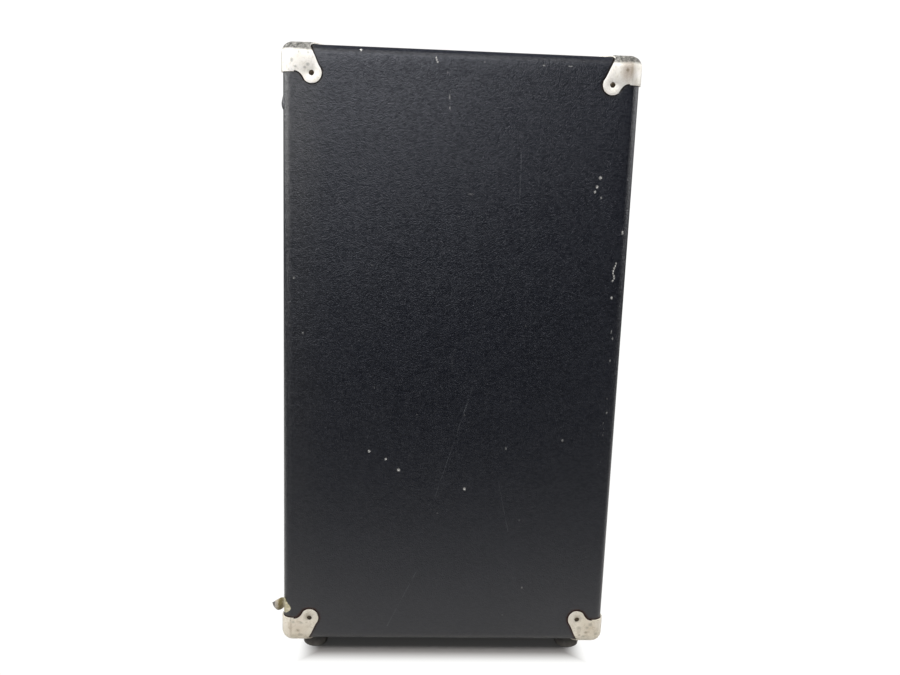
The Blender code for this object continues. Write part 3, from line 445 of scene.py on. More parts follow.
def ply_material(name, thick, along):
    """Birch ply: long grain on the faces and the glued layers on the cut edges; thick and along are axes 0 to 2."""
    m, n, p = new_material(name)
    c = n.coord()
    geo = n.add("ShaderNodeNewGeometry")
    axis = [0.0, 0.0, 0.0]
    axis[thick] = 1.0
    facing = n.math("ABSOLUTE", n.vmath("DOT_PRODUCT", geo.outputs["Normal"], tuple(axis)))
    on_face = n.range(facing, 0.45, 0.75)
    stretch = [38.0, 38.0, 38.0]
    stretch[along] = 2.6
    g = n.noise(n.mapping(c, tuple(stretch)), 2.2, 5.0, 0.62, 1.1)
    pore = n.noise(n.mapping(c, tuple(s * 12 for s in stretch)), 2.0, 2.0, 0.6)
    face = n.mix(n.range(g, 0.3, 0.7), (0.50, 0.34, 0.19), (0.66, 0.49, 0.30))
    face = n.mix(n.range(pore, 0.60, 0.75, 0.0, 0.35), face, (0.33, 0.20, 0.10))
    sep = n.add("ShaderNodeSeparateXYZ")
    n.put(sep.inputs[0], c)
    layer = n.math("PINGPONG", n.math("MULTIPLY", sep.outputs[thick], 1 / 0.00277), 1.0)
    edge = n.mix(n.range(layer, 0.35, 0.65), (0.36, 0.23, 0.12), (0.62, 0.46, 0.28))
    edge = n.mix(n.range(n.noise(c, 500, 3.0, 0.6), 0.55, 0.8, 0.0, 0.4), edge, (0.22, 0.13, 0.07))
    color = n.mix(on_face, edge, face)
    finish_material(n, p, color, 0.72, None, n.bump(pore, 0.25, 0.0003))
    return m


def cloth_material():
    """Coarse woven grille cloth: black strands over and under, with a lighter fleck in the warp."""
    m, n, p = new_material("grille_weave")
    c = n.coord()
    sep = n.add("ShaderNodeSeparateXYZ")
    n.put(sep.inputs[0], c)
    pitch = 0.0021
    drift = n.add("ShaderNodeSeparateXYZ")
    n.put(drift.inputs[0], n.vmath("SCALE", n.noise(c, 55, 3.0, 0.7, out="Color"), scale=0.0022))
    u = n.math("MULTIPLY", n.math("ADD", n.math("ADD", sep.outputs[0], drift.outputs[0]), n.math("MULTIPLY", sep.outputs[1], 0.9)), math.pi / pitch)
    v = n.math("MULTIPLY", n.math("ADD", n.math("ADD", sep.outputs[2], drift.outputs[1]), n.math("MULTIPLY", sep.outputs[1], 0.9)), math.pi / pitch)
    su, sv = n.math("ABSOLUTE", n.math("SINE", u)), n.math("ABSOLUTE", n.math("SINE", v))
    parity = n.math("GREATER_THAN", n.math("MULTIPLY", n.math("SINE", n.math("MULTIPLY", u, 0.5)), n.math("SINE", n.math("MULTIPLY", v, 0.5))), 0.0)
    height = n.mix(parity, n.math("MULTIPLY", n.math("POWER", su, 0.7), sv), n.math("MULTIPLY", n.math("POWER", sv, 0.7), su))
    fibre = n.noise(n.mapping(c, (1, 1, 0.4)), 3200, 2.0, 0.6)
    fleck = n.math("MULTIPLY", n.range(n.noise(n.mapping(c, (700, 40, 90)), 1.0, 2.0, 0.6), 0.60, 0.66), parity)
    color = n.mix(n.range(height, 0.1, 0.9), (0.010, 0.010, 0.011), (0.036, 0.036, 0.039))
    color = n.mix(n.math("MULTIPLY", fleck, 0.75), color, (0.20, 0.20, 0.20))
    color = n.mix(n.range(fibre, 0.5, 0.8, 0.0, 0.3), color, (0.08, 0.08, 0.085))
    normal = n.bump(n.math("ADD", height, n.math("MULTIPLY", fibre, 0.2)), 0.65, 0.0005)
    finish_material(n, p, color, 0.88, None, normal)
    p.inputs["Sheen Weight"].default_value = 0.25
    p.inputs["Sheen Roughness"].default_value = 0.5
    return m


def ring_material(name, a, b, axis, pitch, rough, metal=0.0, centre=None, bump=0.4):
    """Fine rings: windings along an axis, or pressed rings around a centre in the front plane."""
    m, n, p = new_material(name)
    c = n.coord()
    if centre is None:
        sep = n.add("ShaderNodeSeparateXYZ")
        n.put(sep.inputs[0], c)
        r = sep.outputs[axis]
    else:
        r = n.vmath("LENGTH", n.vmath("MULTIPLY", n.vmath("SUBTRACT", c, centre), (1, 0, 1)))
    wave = n.math("ABSOLUTE", n.math("SINE", n.math("MULTIPLY", r, math.pi / pitch)))
    soft = n.noise(c, 90, 4.0, 0.6)
    color = n.mix(n.range(soft, 0.3, 0.7), a, b)
    # darker in the grooves between the rings: painted shade
    color = n.mix(n.range(wave, 0.0, 0.3, 0.35, 0.0), color, tuple(x * 0.35 for x in a))
    height = n.math("ADD", n.math("MULTIPLY", wave, bump), n.math("MULTIPLY", n.noise(c, 1300, 3.0, 0.7), 0.7))
    finish_material(n, p, color, rough, None, n.bump(height, 0.5, 0.0003))
    p.inputs["Metallic"].default_value = metal
    return m


def wadding_material():
    m, n, p = new_material("white_wadding")
    c = n.coord()
    fibre = n.noise(n.mapping(c, (1, 1, 0.3)), 700, 6.0, 0.75, 2.0)
    tuft = n.noise(c, 45, 4.0, 0.65)
    color = n.mix(n.range(fibre, 0.3, 0.7), (0.60, 0.58, 0.52), (0.80, 0.79, 0.74))
    finish_material(n, p, color, 0.95, None, n.bump(n.math("ADD", tuft, n.math("MULTIPLY", fibre, 0.4)), 0.9, 0.003))
    p.inputs["Sheen Weight"].default_value = 0.4
    return m


def torn_material(name, flap=False):
    """Raw wood and cloth backing where the covering is torn: cream to olive, dirty at its edges."""
    m, n, p = new_material(name)
    c = n.coord()
    fibre = n.noise(n.mapping(c, (1, 1, 0.25)), 1500, 4.0, 0.65, 0.6)
    patch = n.noise(c, 330, 3.0, 0.6)
    if flap:
        sep = n.add("ShaderNodeSeparateXYZ")
        n.put(sep.inputs[0], c)
        out = n.range(n.math("ADD", sep.outputs[1], n.math("MULTIPLY", n.math("SUBTRACT", patch, 0.5), 0.004)), -0.2160, -0.2030)
        tone = n.ramp(out, [(0.0, (0.085, 0.082, 0.080)), (0.16, (0.12, 0.115, 0.11)), (0.24, (0.36, 0.32, 0.27)), (0.46, (0.34, 0.30, 0.23)), (0.60, (0.15, 0.115, 0.045)), (0.86, (0.13, 0.105, 0.045)), (1.0, (0.30, 0.26, 0.16))])
    else:
        tone = n.mix(n.range(patch, 0.4, 0.6), (0.60, 0.54, 0.40), (0.44, 0.40, 0.24))
    tone = n.mix(n.range(fibre, 0.45, 0.75, 0.0, 0.55), tone, (0.12, 0.095, 0.05))
    finish_material(n, p, tone, 0.85, None, n.bump(n.math("ADD", fibre, n.math("MULTIPLY", patch, 0.5)), 0.7, 0.0004))
    p.inputs["Sheen Weight"].default_value = 0.2
    return m


M_TORN, M_FLAP = torn_material("bare_torn_wood"), torn_material("torn_flap_backing", flap=True)
M_VINYL = vinyl_material("black_pebbled_vinyl", side_marks=True)
M_VINYL_BACK = vinyl_material("black_pebbled_vinyl_back")
M_NICKEL = nickel_material()
M_SCREW = simple_material("blackened_screw", (0.045, 0.034, 0.022), (0.090, 0.064, 0.036), 0.55, 0.5, 500, 1500, 0.15, dirt=0.3)
M_FOOT = foot_material()
M_RUBBER = simple_material("black_rubber", (0.012, 0.012, 0.012), (0.022, 0.022, 0.022), 0.78, 0.0, 90, 1100, 0.35, dirt=0.35)
M_STEEL = simple_material("zinc_steel", (0.60, 0.60, 0.59), (0.70, 0.70, 0.68), 0.33, 0.95, 160, 1700, 0.12, dirt=0.15)
M_BLACK_METAL = simple_material("black_powder_coat", (0.016, 0.016, 0.017), (0.026, 0.026, 0.027), 0.46, 0.0, 70, 1500, 0.30, 0.00015, dirt=0.10)
M_PLASTIC = simple_material("black_moulded_plastic", (0.014, 0.014, 0.015), (0.022, 0.022, 0.023), 0.50, 0.0, 70, 2200, 0.35, 0.00012, dirt=0.08)
M_BAFFLE = simple_material("black_baffle_paint", (0.010, 0.010, 0.010), (0.020, 0.020, 0.019), 0.72, 0.0, 35, 420, 0.55, 0.0005, dirt=0.12)
M_PAPER = ring_material("pressed_cone_paper", (0.018, 0.017, 0.016), (0.034, 0.032, 0.030), 1, 0.0085, 0.86, centre=(0, 0, 0.285), bump=0.12)
M_DOPED = ring_material("doped_surround_cloth", (0.030, 0.028, 0.025), (0.052, 0.048, 0.042), 1, 0.0011, 0.62, centre=(0, 0, 0.285), bump=0.5)
M_GASKET = simple_material("gasket_felt", (0.020, 0.020, 0.020), (0.045, 0.044, 0.042), 0.93, 0.0, 120, 900, 0.8, 0.0006)
M_WEAVE = cloth_material()
M_COPPER = ring_material("copper_winding", (0.50, 0.20, 0.08), (0.72, 0.36, 0.17), 2, 0.0009, 0.34, 0.9)
M_COIL = ring_material("copper_voice_coil", (0.50, 0.20, 0.08), (0.72, 0.36, 0.17), 1, 0.0006, 0.34, 0.9)
M_IRON = simple_material("plated_iron", (0.42, 0.42, 0.41), (0.54, 0.54, 0.52), 0.40, 0.9, 120, 1300, 0.15, dirt=0.15)
M_FERRITE = simple_material("raw_ferrite", (0.045, 0.045, 0.050), (0.075, 0.075, 0.080), 0.62, 0.0, 160, 700, 0.35)
M_WADDING = wadding_material()
M_BOARD = simple_material("lacquered_board", (0.060, 0.150, 0.070), (0.090, 0.190, 0.090), 0.42, 0.0, 50, 800, 0.15)
M_WIRE = simple_material("red_wire", (0.32, 0.020, 0.018), (0.42, 0.032, 0.026), 0.45, 0.0, 200, 900, 0.2)
M_PLY_X = ply_material("birch_ply_sides", 0, 2)
M_PLY_Z = ply_material("birch_ply_top_bottom", 2, 0)
M_PLY_Y = ply_material("birch_ply_upright", 1, 2)
M_MARK = simple_material("pale_tick_paint", (0.62, 0.62, 0.60), (0.74, 0.74, 0.71), 0.6, 0.0, 300, 1500, 0.2)

# ------------------------------------------------------------------ mesh helpers
TURN = {"z": Matrix.Identity(4), "front": Matrix.Rotation(math.pi / 2, 4, "X"), "rear": Matrix.Rotation(-math.pi / 2, 4, "X"),
        "x": Matrix.Rotation(math.pi / 2, 4, "Y")}


def add_mesh(name, verts, faces, mat, angle=40.0, weld=0.0):
    me = bpy.data.meshes.new(name)
    me.from_pydata([tuple(v) for v in verts], [], faces)
    if weld:
        bm = bmesh.new()
        bm.from_mesh(me)
        bmesh.ops.remove_doubles(bm, verts=bm.verts, dist=weld)
        bmesh.ops.dissolve_degenerate(bm, dist=weld * 0.1, edges=bm.edges)
        bm.to_mesh(me)
        bm.free()
    me.validate()
    return add_object(name, me, mat, angle)


def add_object(name, me, mat, angle=40.0):
    ob = bpy.data.objects.new(name, me)
    scene.collection.objects.link(ob)
    me.materials.clear()
    for m in (mat if isinstance(mat, (list, tuple)) else [mat]):
        me.materials.append(m)
    me.shade_smooth()
    if angle is not None:
        me.set_sharp_from_angle(angle=math.radians(angle))
    return ob


def declare(ob, body, slot, *nodes):
    """Says which body a piece rides on and the solids it stands for; slot, its finish, is not used."""
    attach(ob, body)
    if nodes:
        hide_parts(*nodes)
    return ob


def bake_modifiers(ob):
    """Applies a piece's modifiers to its mesh."""
    bpy.context.view_layer.update()
    ev = ob.evaluated_get(bpy.context.evaluated_depsgraph_get())
    me = bpy.data.meshes.new_from_object(ev)
    old = ob.data
    mats = list(old.materials)
    ob.modifiers.clear()
    ob.data = me
    bpy.data.meshes.remove(old)
    me.materials.clear()
    for m in mats:
        me.materials.append(m)
    return ob


def fillet(profile, r, seg=4, closed=True):
    """Rounds each corner of a profile (x, y) by r, or by less where its sides are short."""
    pts = [Vector(p) for p in profile]
    out, count = [], len(pts)
    for i, p in enumerate(pts):
        if not closed and i in (0, count - 1):
            out.append(tuple(p))
            continue
        a, b = pts[i - 1], pts[(i + 1) % count]
        da, db = (a - p), (b - p)
        la, lb = da.length, db.length
        if min(la, lb) < 1e-9:
            continue
        da, db = da / la, db / lb
        cosang = max(-1.0, min(1.0, da.dot(db)))
        if cosang < -0.995:
            out.append(tuple(p))
            continue
        cut = min(r / max(math.tan(math.acos(cosang) / 2), 0.15), la * 0.45, lb * 0.45)
        for k in range(seg + 1):
            t = k / seg
            q = (p + da * cut) * (1 - t) ** 2 + p * 2 * t * (1 - t) + (p + db * cut) * t * t
            out.append(tuple(q))
    return out


def smooth_path(points, per=8, closed=False):
    """Points on a Catmull-Rom curve through the given ones."""
    pts = [Vector(p) for p in points]
    ext = [pts[-1]] + pts + pts[:2] if closed else [2 * pts[0] - pts[1]] + pts + [2 * pts[-1] - pts[-2]]
    out = []
    for i in range(1, len(ext) - 2):
        p0, p1, p2, p3 = ext[i - 1:i + 3]
        for k in range(per):
            t = k / per
            out.append(0.5 * (2 * p1 + (p2 - p0) * t + (2 * p0 - 5 * p1 + 4 * p2 - p3) * t * t + (3 * p1 - p0 - 3 * p2 + p3) * t ** 3))
    if not closed:
        out.append(pts[-1])
    return out


def lathe(name, profile, at, along, mat, steps=96, closed=False, shape=None, angle=35.0):
    """A turned piece from (radius, height) in mm; shape(angle, r, h) may change a point's radius."""
    world = Matrix.Translation(at) @ TURN[along]
    verts, faces, rows = [], [], len(profile)
    for k in range(steps):
        a = 2 * math.pi * k / steps
        for r, h in profile:
            rr = shape(a, r, h) if shape else r
            verts.append(world @ Vector((rr * mm * math.cos(a), rr * mm * math.sin(a), h * mm)))
    last = rows if closed else rows - 1
    for k in range(steps):
        j = (k + 1) % steps
        for i in range(last):
            i2 = (i + 1) % rows
            faces.append((k * rows + i, k * rows + i2, j * rows + i2, j * rows + i))
    return add_mesh(name, verts, faces, mat, angle, weld=0.000004)


def loft(name, loops, mat, angle=35.0, cap_start=False, cap_end=False, closed=False, weld=0.000004):
    """Quads between equal loops of 3-D points."""
    count = len(loops[0])
    verts = [p for loop in loops for p in loop]
    faces = []
    pairs = list(zip(range(len(loops)), range(1, len(loops)))) + ([(len(loops) - 1, 0)] if closed else [])
    for a, b in pairs:
        for k in range(count):
            j = (k + 1) % count
            faces.append((a * count + k, a * count + j, b * count + j, b * count + k))
    if cap_start:
        faces.append(tuple(range(count - 1, -1, -1)))
    if cap_end:
        faces.append(tuple((len(loops) - 1) * count + k for k in range(count)))
    return add_mesh(name, verts, faces, mat, angle, weld)


def rrect(hx, hy, r, arc=8, nx=1, ny=1):
    """A rounded rectangle's points, with nx and ny segments on its straight sides."""
    out = []
    corners = ((hx - r, hy - r, 0), (-hx + r, hy - r, 90), (-hx + r, -hy + r, 180), (hx - r, -hy + r, 270))
    for i, (cx, cy, start) in enumerate(corners):
        for k in range(arc + 1):
            a = math.radians(start + 90 * k / arc)
            out.append((cx + r * math.cos(a), cy + r * math.sin(a)))
        nxt = corners[(i + 1) % 4]
        a = math.radians(nxt[2])
        q = Vector((nxt[0] + r * math.cos(a), nxt[1] + r * math.sin(a)))
        p = Vector(out[-1])
        steps = nx if i % 2 == 0 else ny
        for k in range(1, steps):
            out.append(tuple(p.lerp(q, k / steps)))
    return out


def stamp(name, source, matrices, mat, angle=35.0):
    """One piece from many copies of a small mesh, such as a set of screws."""
    bm = bmesh.new()
    for m in matrices:
        part = source.copy()
        part.transform(m)
        if m.determinant() < 0:
            part.flip_normals()
        bm.from_mesh(part)
        bpy.data.meshes.remove(part)
    me = bpy.data.meshes.new(name)
    bm.to_mesh(me)
    bm.free()
    return add_object(name, me, mat, angle)


def join(name, parts, mat=None, angle=35.0):
    """One piece from several; each keeps its own material."""
    bm, mats = bmesh.new(), []
    for ob in parts:
        for m in ob.data.materials:
            if m not in mats:
                mats.append(m)
        part = ob.data.copy()
        part.transform(ob.matrix_world)
        start = len(bm.faces)
        bm.from_mesh(part)
        bm.faces.ensure_lookup_table()
        for f in bm.faces[start:]:
            f.material_index = mats.index(part.materials[min(f.material_index, len(part.materials) - 1)])
        bpy.data.meshes.remove(part)
        old = ob.data
        bpy.data.objects.remove(ob)
        bpy.data.meshes.remove(old)
    me = bpy.data.meshes.new(name)
    bm.to_mesh(me)
    bm.free()
    out = add_object(name, me, mats, angle)
    return out


def cut(ob, cutters, operation="DIFFERENCE"):
    """Cuts a closed piece with others and removes them."""
    for c in cutters:
        b = ob.modifiers.new("cut", "BOOLEAN")
        b.operation, b.object, b.solver = operation, c, "EXACT"
    bake_modifiers(ob)
    for c in cutters:
        old = c.data
        bpy.data.objects.remove(c)
        bpy.data.meshes.remove(old)
    return ob


def prism(name, outline, lo, hi, matrix, mat=None):
    """A flat outline (x, y) made solid between two heights."""
    bm = bmesh.new()
    low = [bm.verts.new(matrix @ Vector((x, y, lo))) for x, y in outline]
    high = [bm.verts.new(matrix @ Vector((x, y, hi))) for x, y in outline]
    bm.faces.new(low)
    bm.faces.new(high)
    for i in range(len(outline)):
        j = (i + 1) % len(outline)
        bm.faces.new((low[i], low[j], high[j], high[i]))
    bmesh.ops.recalc_face_normals(bm, faces=bm.faces)
    me = bpy.data.meshes.new(name)
    bm.to_mesh(me)
    bm.free()
    return add_object(name, me, mat or M_BLACK_METAL, 30)


def screw_mesh(head_r, dome, slot=0.55, kind="cross"):
    """A screw head in mm about the origin, +Z out: a low dome with a cross or a single slot."""
    rim = [(0.0, dome), (head_r * 0.35, dome * 0.96), (head_r * 0.62, dome * 0.82), (head_r * 0.85, dome * 0.5), (head_r, dome * 0.08), (head_r, -0.6), (0.0, -0.6)]
    ob = lathe("screw_tmp", rim, (0, 0, 0), "z", M_SCREW, steps=28)
    bm = bmesh.new()
    bm.from_mesh(ob.data)
    bmesh.ops.recalc_face_normals(bm, faces=bm.faces)
    bm.to_mesh(ob.data)
    bm.free()
    arm, w = head_r * slot * mm, head_r * 0.13 * mm
    cutters = []
    for k in range(2 if kind == "cross" else 1):
        pts = [(-arm, -w), (arm, -w), (arm, w), (-arm, w)]
        cutters.append(prism("slot_tmp", pts, (dome - head_r * 0.45) * mm, (dome + 1.0) * mm, Matrix.Rotation(math.pi / 2 * k + 0.5, 4, "Z")))
    cut(ob, cutters)
    me = ob.data.copy()
    me.name = "screw_head"
    old = ob.data
    bpy.data.objects.remove(ob)
    bpy.data.meshes.remove(old)
    return me


def wobble(p, size, scale, seed=0.0):
    """A smooth offset for hand-worked surfaces."""
    q = Vector((p[0], p[1], p[2])) / scale + Vector((seed, seed * 1.7, seed * 0.3))
    return noise.noise(q) * size


# ------------------------------------------------------------------ vinyl covering
HOLE = (0.0755, 0.0445)                     # opening for the handle dish in the top


def covering():
    """One skin round the box: it turns in at the front and rear edges and stops at the baffle and back panel."""
    edge_n = INNER + 1.0 * mm
    rr = 2.2 * mm
    prof = [(edge_n, BAFFLE_Y - 0.0004)]
    prof += [(edge_n, BAFFLE_Y - 0.0004 + (-HY + rr - BAFFLE_Y + 0.0004) * t) for t in (0.33, 0.66)]
    for k in range(7):
        a = math.radians(15 * k)
        prof.append((edge_n - rr + rr * math.cos(a), -HY + rr - rr * math.sin(a)))
    prof.append(((edge_n - rr + EDGE_R) / 2, -HY))
    for k in range(13):
        a = math.radians(7.5 * k)
        prof.append((EDGE_R - EDGE_R * math.sin(a), -HY + EDGE_R - EDGE_R * math.cos(a)))
    ys = sorted(set([round(v, 5) for v in np.linspace(-HY + EDGE_R, HY - EDGE_R, 29)[1:-1]] + [-HOLE[1], HOLE[1]]))
    prof += [(0.0, y) for y in ys]
    for k in range(13):
        a = math.radians(7.5 * k)
        prof.append((EDGE_R - EDGE_R * math.cos(a), HY - EDGE_R + EDGE_R * math.sin(a)))
    prof.append(((edge_n - rr + EDGE_R) / 2, HY))
    for k in range(7):
        a = math.radians(15 * k)
        prof.append((edge_n - rr + rr * math.sin(a), HY - rr + rr * math.cos(a)))
    prof.append((edge_n, BACK_Y + 0.0005))

    def ring(n_in, y):
        r = max(EDGE_R - n_in, 0.0)
        hx, hz = HX - n_in, HZ - n_in
        cx, cz = hx - r, hz - r
        lim_x, lim_z = HX - INNER - 0.004, HZ - INNER - 0.004
        xs = sorted(set([round(v, 5) for v in np.linspace(-lim_x, lim_x, 29)] + [-HOLE[0], HOLE[0]]))
        zs = [round(v, 5) for v in np.linspace(-lim_z, lim_z, 35)]
        pts = []
        for sx, sz, start in ((1, 1, 0), (-1, 1, 90), (-1, -1, 180), (1, -1, 270)):
            for k in range(9):
                a = math.radians(start + 90 * k / 8)
                pts.append((sx * cx + r * math.cos(a), sz * cz + r * math.sin(a)))
            if (sx, sz) == (1, 1):
                pts += [(x, hz) for x in reversed(xs)]
            elif (sx, sz) == (-1, 1):
                pts += [(-hx, z) for z in reversed(zs)]
            elif (sx, sz) == (-1, -1):
                pts += [(x, -hz) for x in xs]
            else:
                pts += [(hx, z) for z in zs]
        out = []
        for x, z in pts:
            flat = max(0.0, min(1.0, (HX - abs(x)) / 0.03 if abs(abs(z) - HZ) < 1e-6 else (HZ - abs(z)) / 0.03)) if n_in == 0.0 else 0.0
            flat *= max(0.0, min(1.0, (HY - EDGE_R - abs(y)) / 0.02))
            push = wobble((x, y, z), 0.00022, 0.075) * flat
            d = Vector((x / hx if abs(abs(x) - hx) < 1e-6 else 0.0, 0, z / hz if abs(abs(z) - hz) < 1e-6 else 0.0))
            out.append(Vector((x, y, z + ZM)) + d * push)
        return out

    ob = loft("vinyl_skin", [ring(a, b) for a, b in prof], M_VINYL, angle=60, weld=0.00001)
    bm = bmesh.new()
    bm.from_mesh(ob.data)
    gone = [f for f in bm.faces if abs(f.calc_center_median().x) < HOLE[0] and abs(f.calc_center_median().y) < HOLE[1] and f.calc_center_median().z > Z1 - 0.003]
    bmesh.ops.delete(bm, geom=gone, context="FACES")
    bmesh.ops.recalc_face_normals(bm, faces=bm.faces)
    bm.to_mesh(ob.data)
    bm.free()
    return declare(ob, "cabinet", "black_vinyl", "vinyl_covering")


covering()


def on_edge(phi, z, out=0.0):
    """A point on the rounding between the front and the +X side; phi is 0 at the side and 90 at the front."""
    a = math.radians(phi)
    return Vector((HX - EDGE_R + (EDGE_R + out) * math.cos(a), -HY + EDGE_R - (EDGE_R + out) * math.sin(a), Z0 + z))


def bare_wood():
    """Where the covering is torn off just above the low front corner."""
    rows = [(36.0, 50, 62), (37.2, 38, 78), (39.6, 22, 88), (42.4, 12, 90), (45.0, 10, 90), (48.0, 21, 88), (51.0, 35, 86), (53.6, 49, 84), (55.4, 64, 76)]
    path = smooth_path([(z, a, b) for z, a, b in rows], 4)
    cols, loops = 14, []
    for z, a, b in path:
        ragged = wobble((0, 0, z), 3.0, 1.7, 4.0)
        a, b = a + ragged, b - ragged * 0.6
        top = [on_edge(a + (b - a) * k / cols, z * mm, 0.0003 + wobble((k, 1, z), 0.00012, 2.1)) for k in range(cols + 1)]
        low = [on_edge(a + (b - a) * k / cols, z * mm, -0.0006) for k in range(cols, -1, -1)]
        loops.append(top + low)
    ob = loft("bare_wood_patch", loops, M_TORN, angle=50, cap_start=True, cap_end=True)
    return declare(ob, "cabinet", "ply")


def torn_flap():
    """The torn piece itself, still hanging on by its upper edge and standing out past the front."""
    outline = [  # root to tip: y and z of the lower edge, y and z of the upper edge, x over the box's centre, all in mm
        (-202.6, 42.6, -202.6, 55.4, 299.0), (-204.6, 41.0, -205.4, 56.2, 300.6), (-207.6, 40.2, -208.2, 55.2, 301.8), (-210.4, 40.4, -211.2, 53.6, 302.3),
        (-212.6, 41.8, -213.4, 51.8, 301.9), (-214.6, 43.6, -215.4, 49.6, 300.8), (-216.0, 45.2, -217.2, 48.4, 299.4)]
    loops, across, thick = [], 9, 1.15
    for i, (y0, z0, y1, z1, x) in enumerate(smooth_path(outline, 3)):
        s, ring = i / 18, []
        for side in (1, -1):
            order = range(across + 1) if side > 0 else range(across, -1, -1)
            for k in order:
                t = k / across
                curl = 1.9 * math.sin(math.pi * t) * math.sin(math.pi * min(1.0, s + 0.25)) - 1.4 * t * s
                y, z = y0 + (y1 - y0) * t, z0 + (z1 - z0) * t
                h = thick * (0.5 if k in (0, across) else 1.0) * (1.0 - 0.45 * s)
                rag = wobble((y, z, 3.0 * side), 0.7, 2.6, 9.0) * (1.0 if side > 0 else 0.4)
                ring.append(Vector(((x + curl + rag * 0.6 + side * h / 2) * mm, (y + rag * 0.35) * mm, Z0 + (z + rag * 0.5) * mm)))
        loops.append(ring)
    ob = loft("torn_flap", loops, M_FLAP, angle=50, cap_start=True, cap_end=True)
    declare(ob, "cabinet", "black_vinyl")


def lifted_spot():
    """A small blister of loose covering on the front edge."""
    loops = []
    for i in range(17):
        t = i / 16
        z = 651.0 + 17.5 * t
        lift = 1.75 * (math.sin(math.pi * t ** 0.75) ** 1.5)
        ring = []
        for k in range(15):
            u = k / 14
            ring.append(on_edge(48 + 62 * u, z * mm, lift * mm * math.sin(math.pi * u) ** 1.3 + 0.00008 - (0.0003 if i in (0, 16) or k in (0, 14) else 0)))
        for k in range(14, -1, -1):
            ring.append(on_edge(48 + 62 * k / 14, z * mm, -0.0008))
        loops.append(ring)
    ob = loft("lifted_covering", loops, M_VINYL_BACK, angle=70, cap_start=True, cap_end=True)
    return declare(ob, "cabinet", "black_vinyl")


bare_wood()
torn_flap()
lifted_spot()

# ------------------------------------------------------------------ corner protectors
CAP, LIP = 31.5 * mm, 17.2 * mm
EAR_HOLE, BASE_HOLE, EAR_R = (33.0 * mm, 32.0 * mm), (38.0 * mm, 32.5 * mm), 11.3 * mm


def ear_outline(s):
    """The side ear, u from the front edge and v from the top edge; s moves the tip in for the top ear."""
    cu, cv = EAR_HOLE[0] + s, EAR_HOLE[1]
    painted_dark_flank = smooth_path([(0.0296, -0.001), (0.0323, 0.005), (0.0367 + 0.4 * s, 0.014), (0.0404 + 0.75 * s, 0.0225),
                         (cu + EAR_R * math.cos(math.radians(-25)), cv + EAR_R * math.sin(math.radians(-25)))], 5)
    pts = [(-0.006, -0.006), (0.0296, -0.006)] + [tuple(p) for p in painted_dark_flank]
    for a in range(-13, 132, 12):
        pts.append((cu + EAR_R * math.cos(math.radians(a)), cv + EAR_R * math.sin(math.radians(a))))
    low = smooth_path([(cu + EAR_R * math.cos(math.radians(131)), cv + EAR_R * math.sin(math.radians(131))),
                       (0.0225 + 0.6 * s, 0.0352), (0.0190 + 0.3 * s, 0.0318), (0.0150, 0.0303), (0.0105, 0.0302), (0.0045, 0.0311), (0.0, CAP)], 4)
    pts += [tuple(p) for p in low[1:]] + [(-0.006, CAP)]
    return pts


def shell_block(name, lo, hi, r, seg):
    bm = bmesh.new()
    lo, hi = Vector(lo), Vector(hi)
    bmesh.ops.create_cube(bm, size=1.0, matrix=Matrix.Translation((lo + hi) / 2) @ Matrix.Diagonal((*(hi - lo), 1.0)))
    bmesh.ops.bevel(bm, geom=bm.edges[:], offset=r, segments=seg, profile=0.5, affect="EDGES")
    me = bpy.data.meshes.new(name)
    bm.to_mesh(me)
    bm.free()
    return add_object(name, me, M_NICKEL, 30)


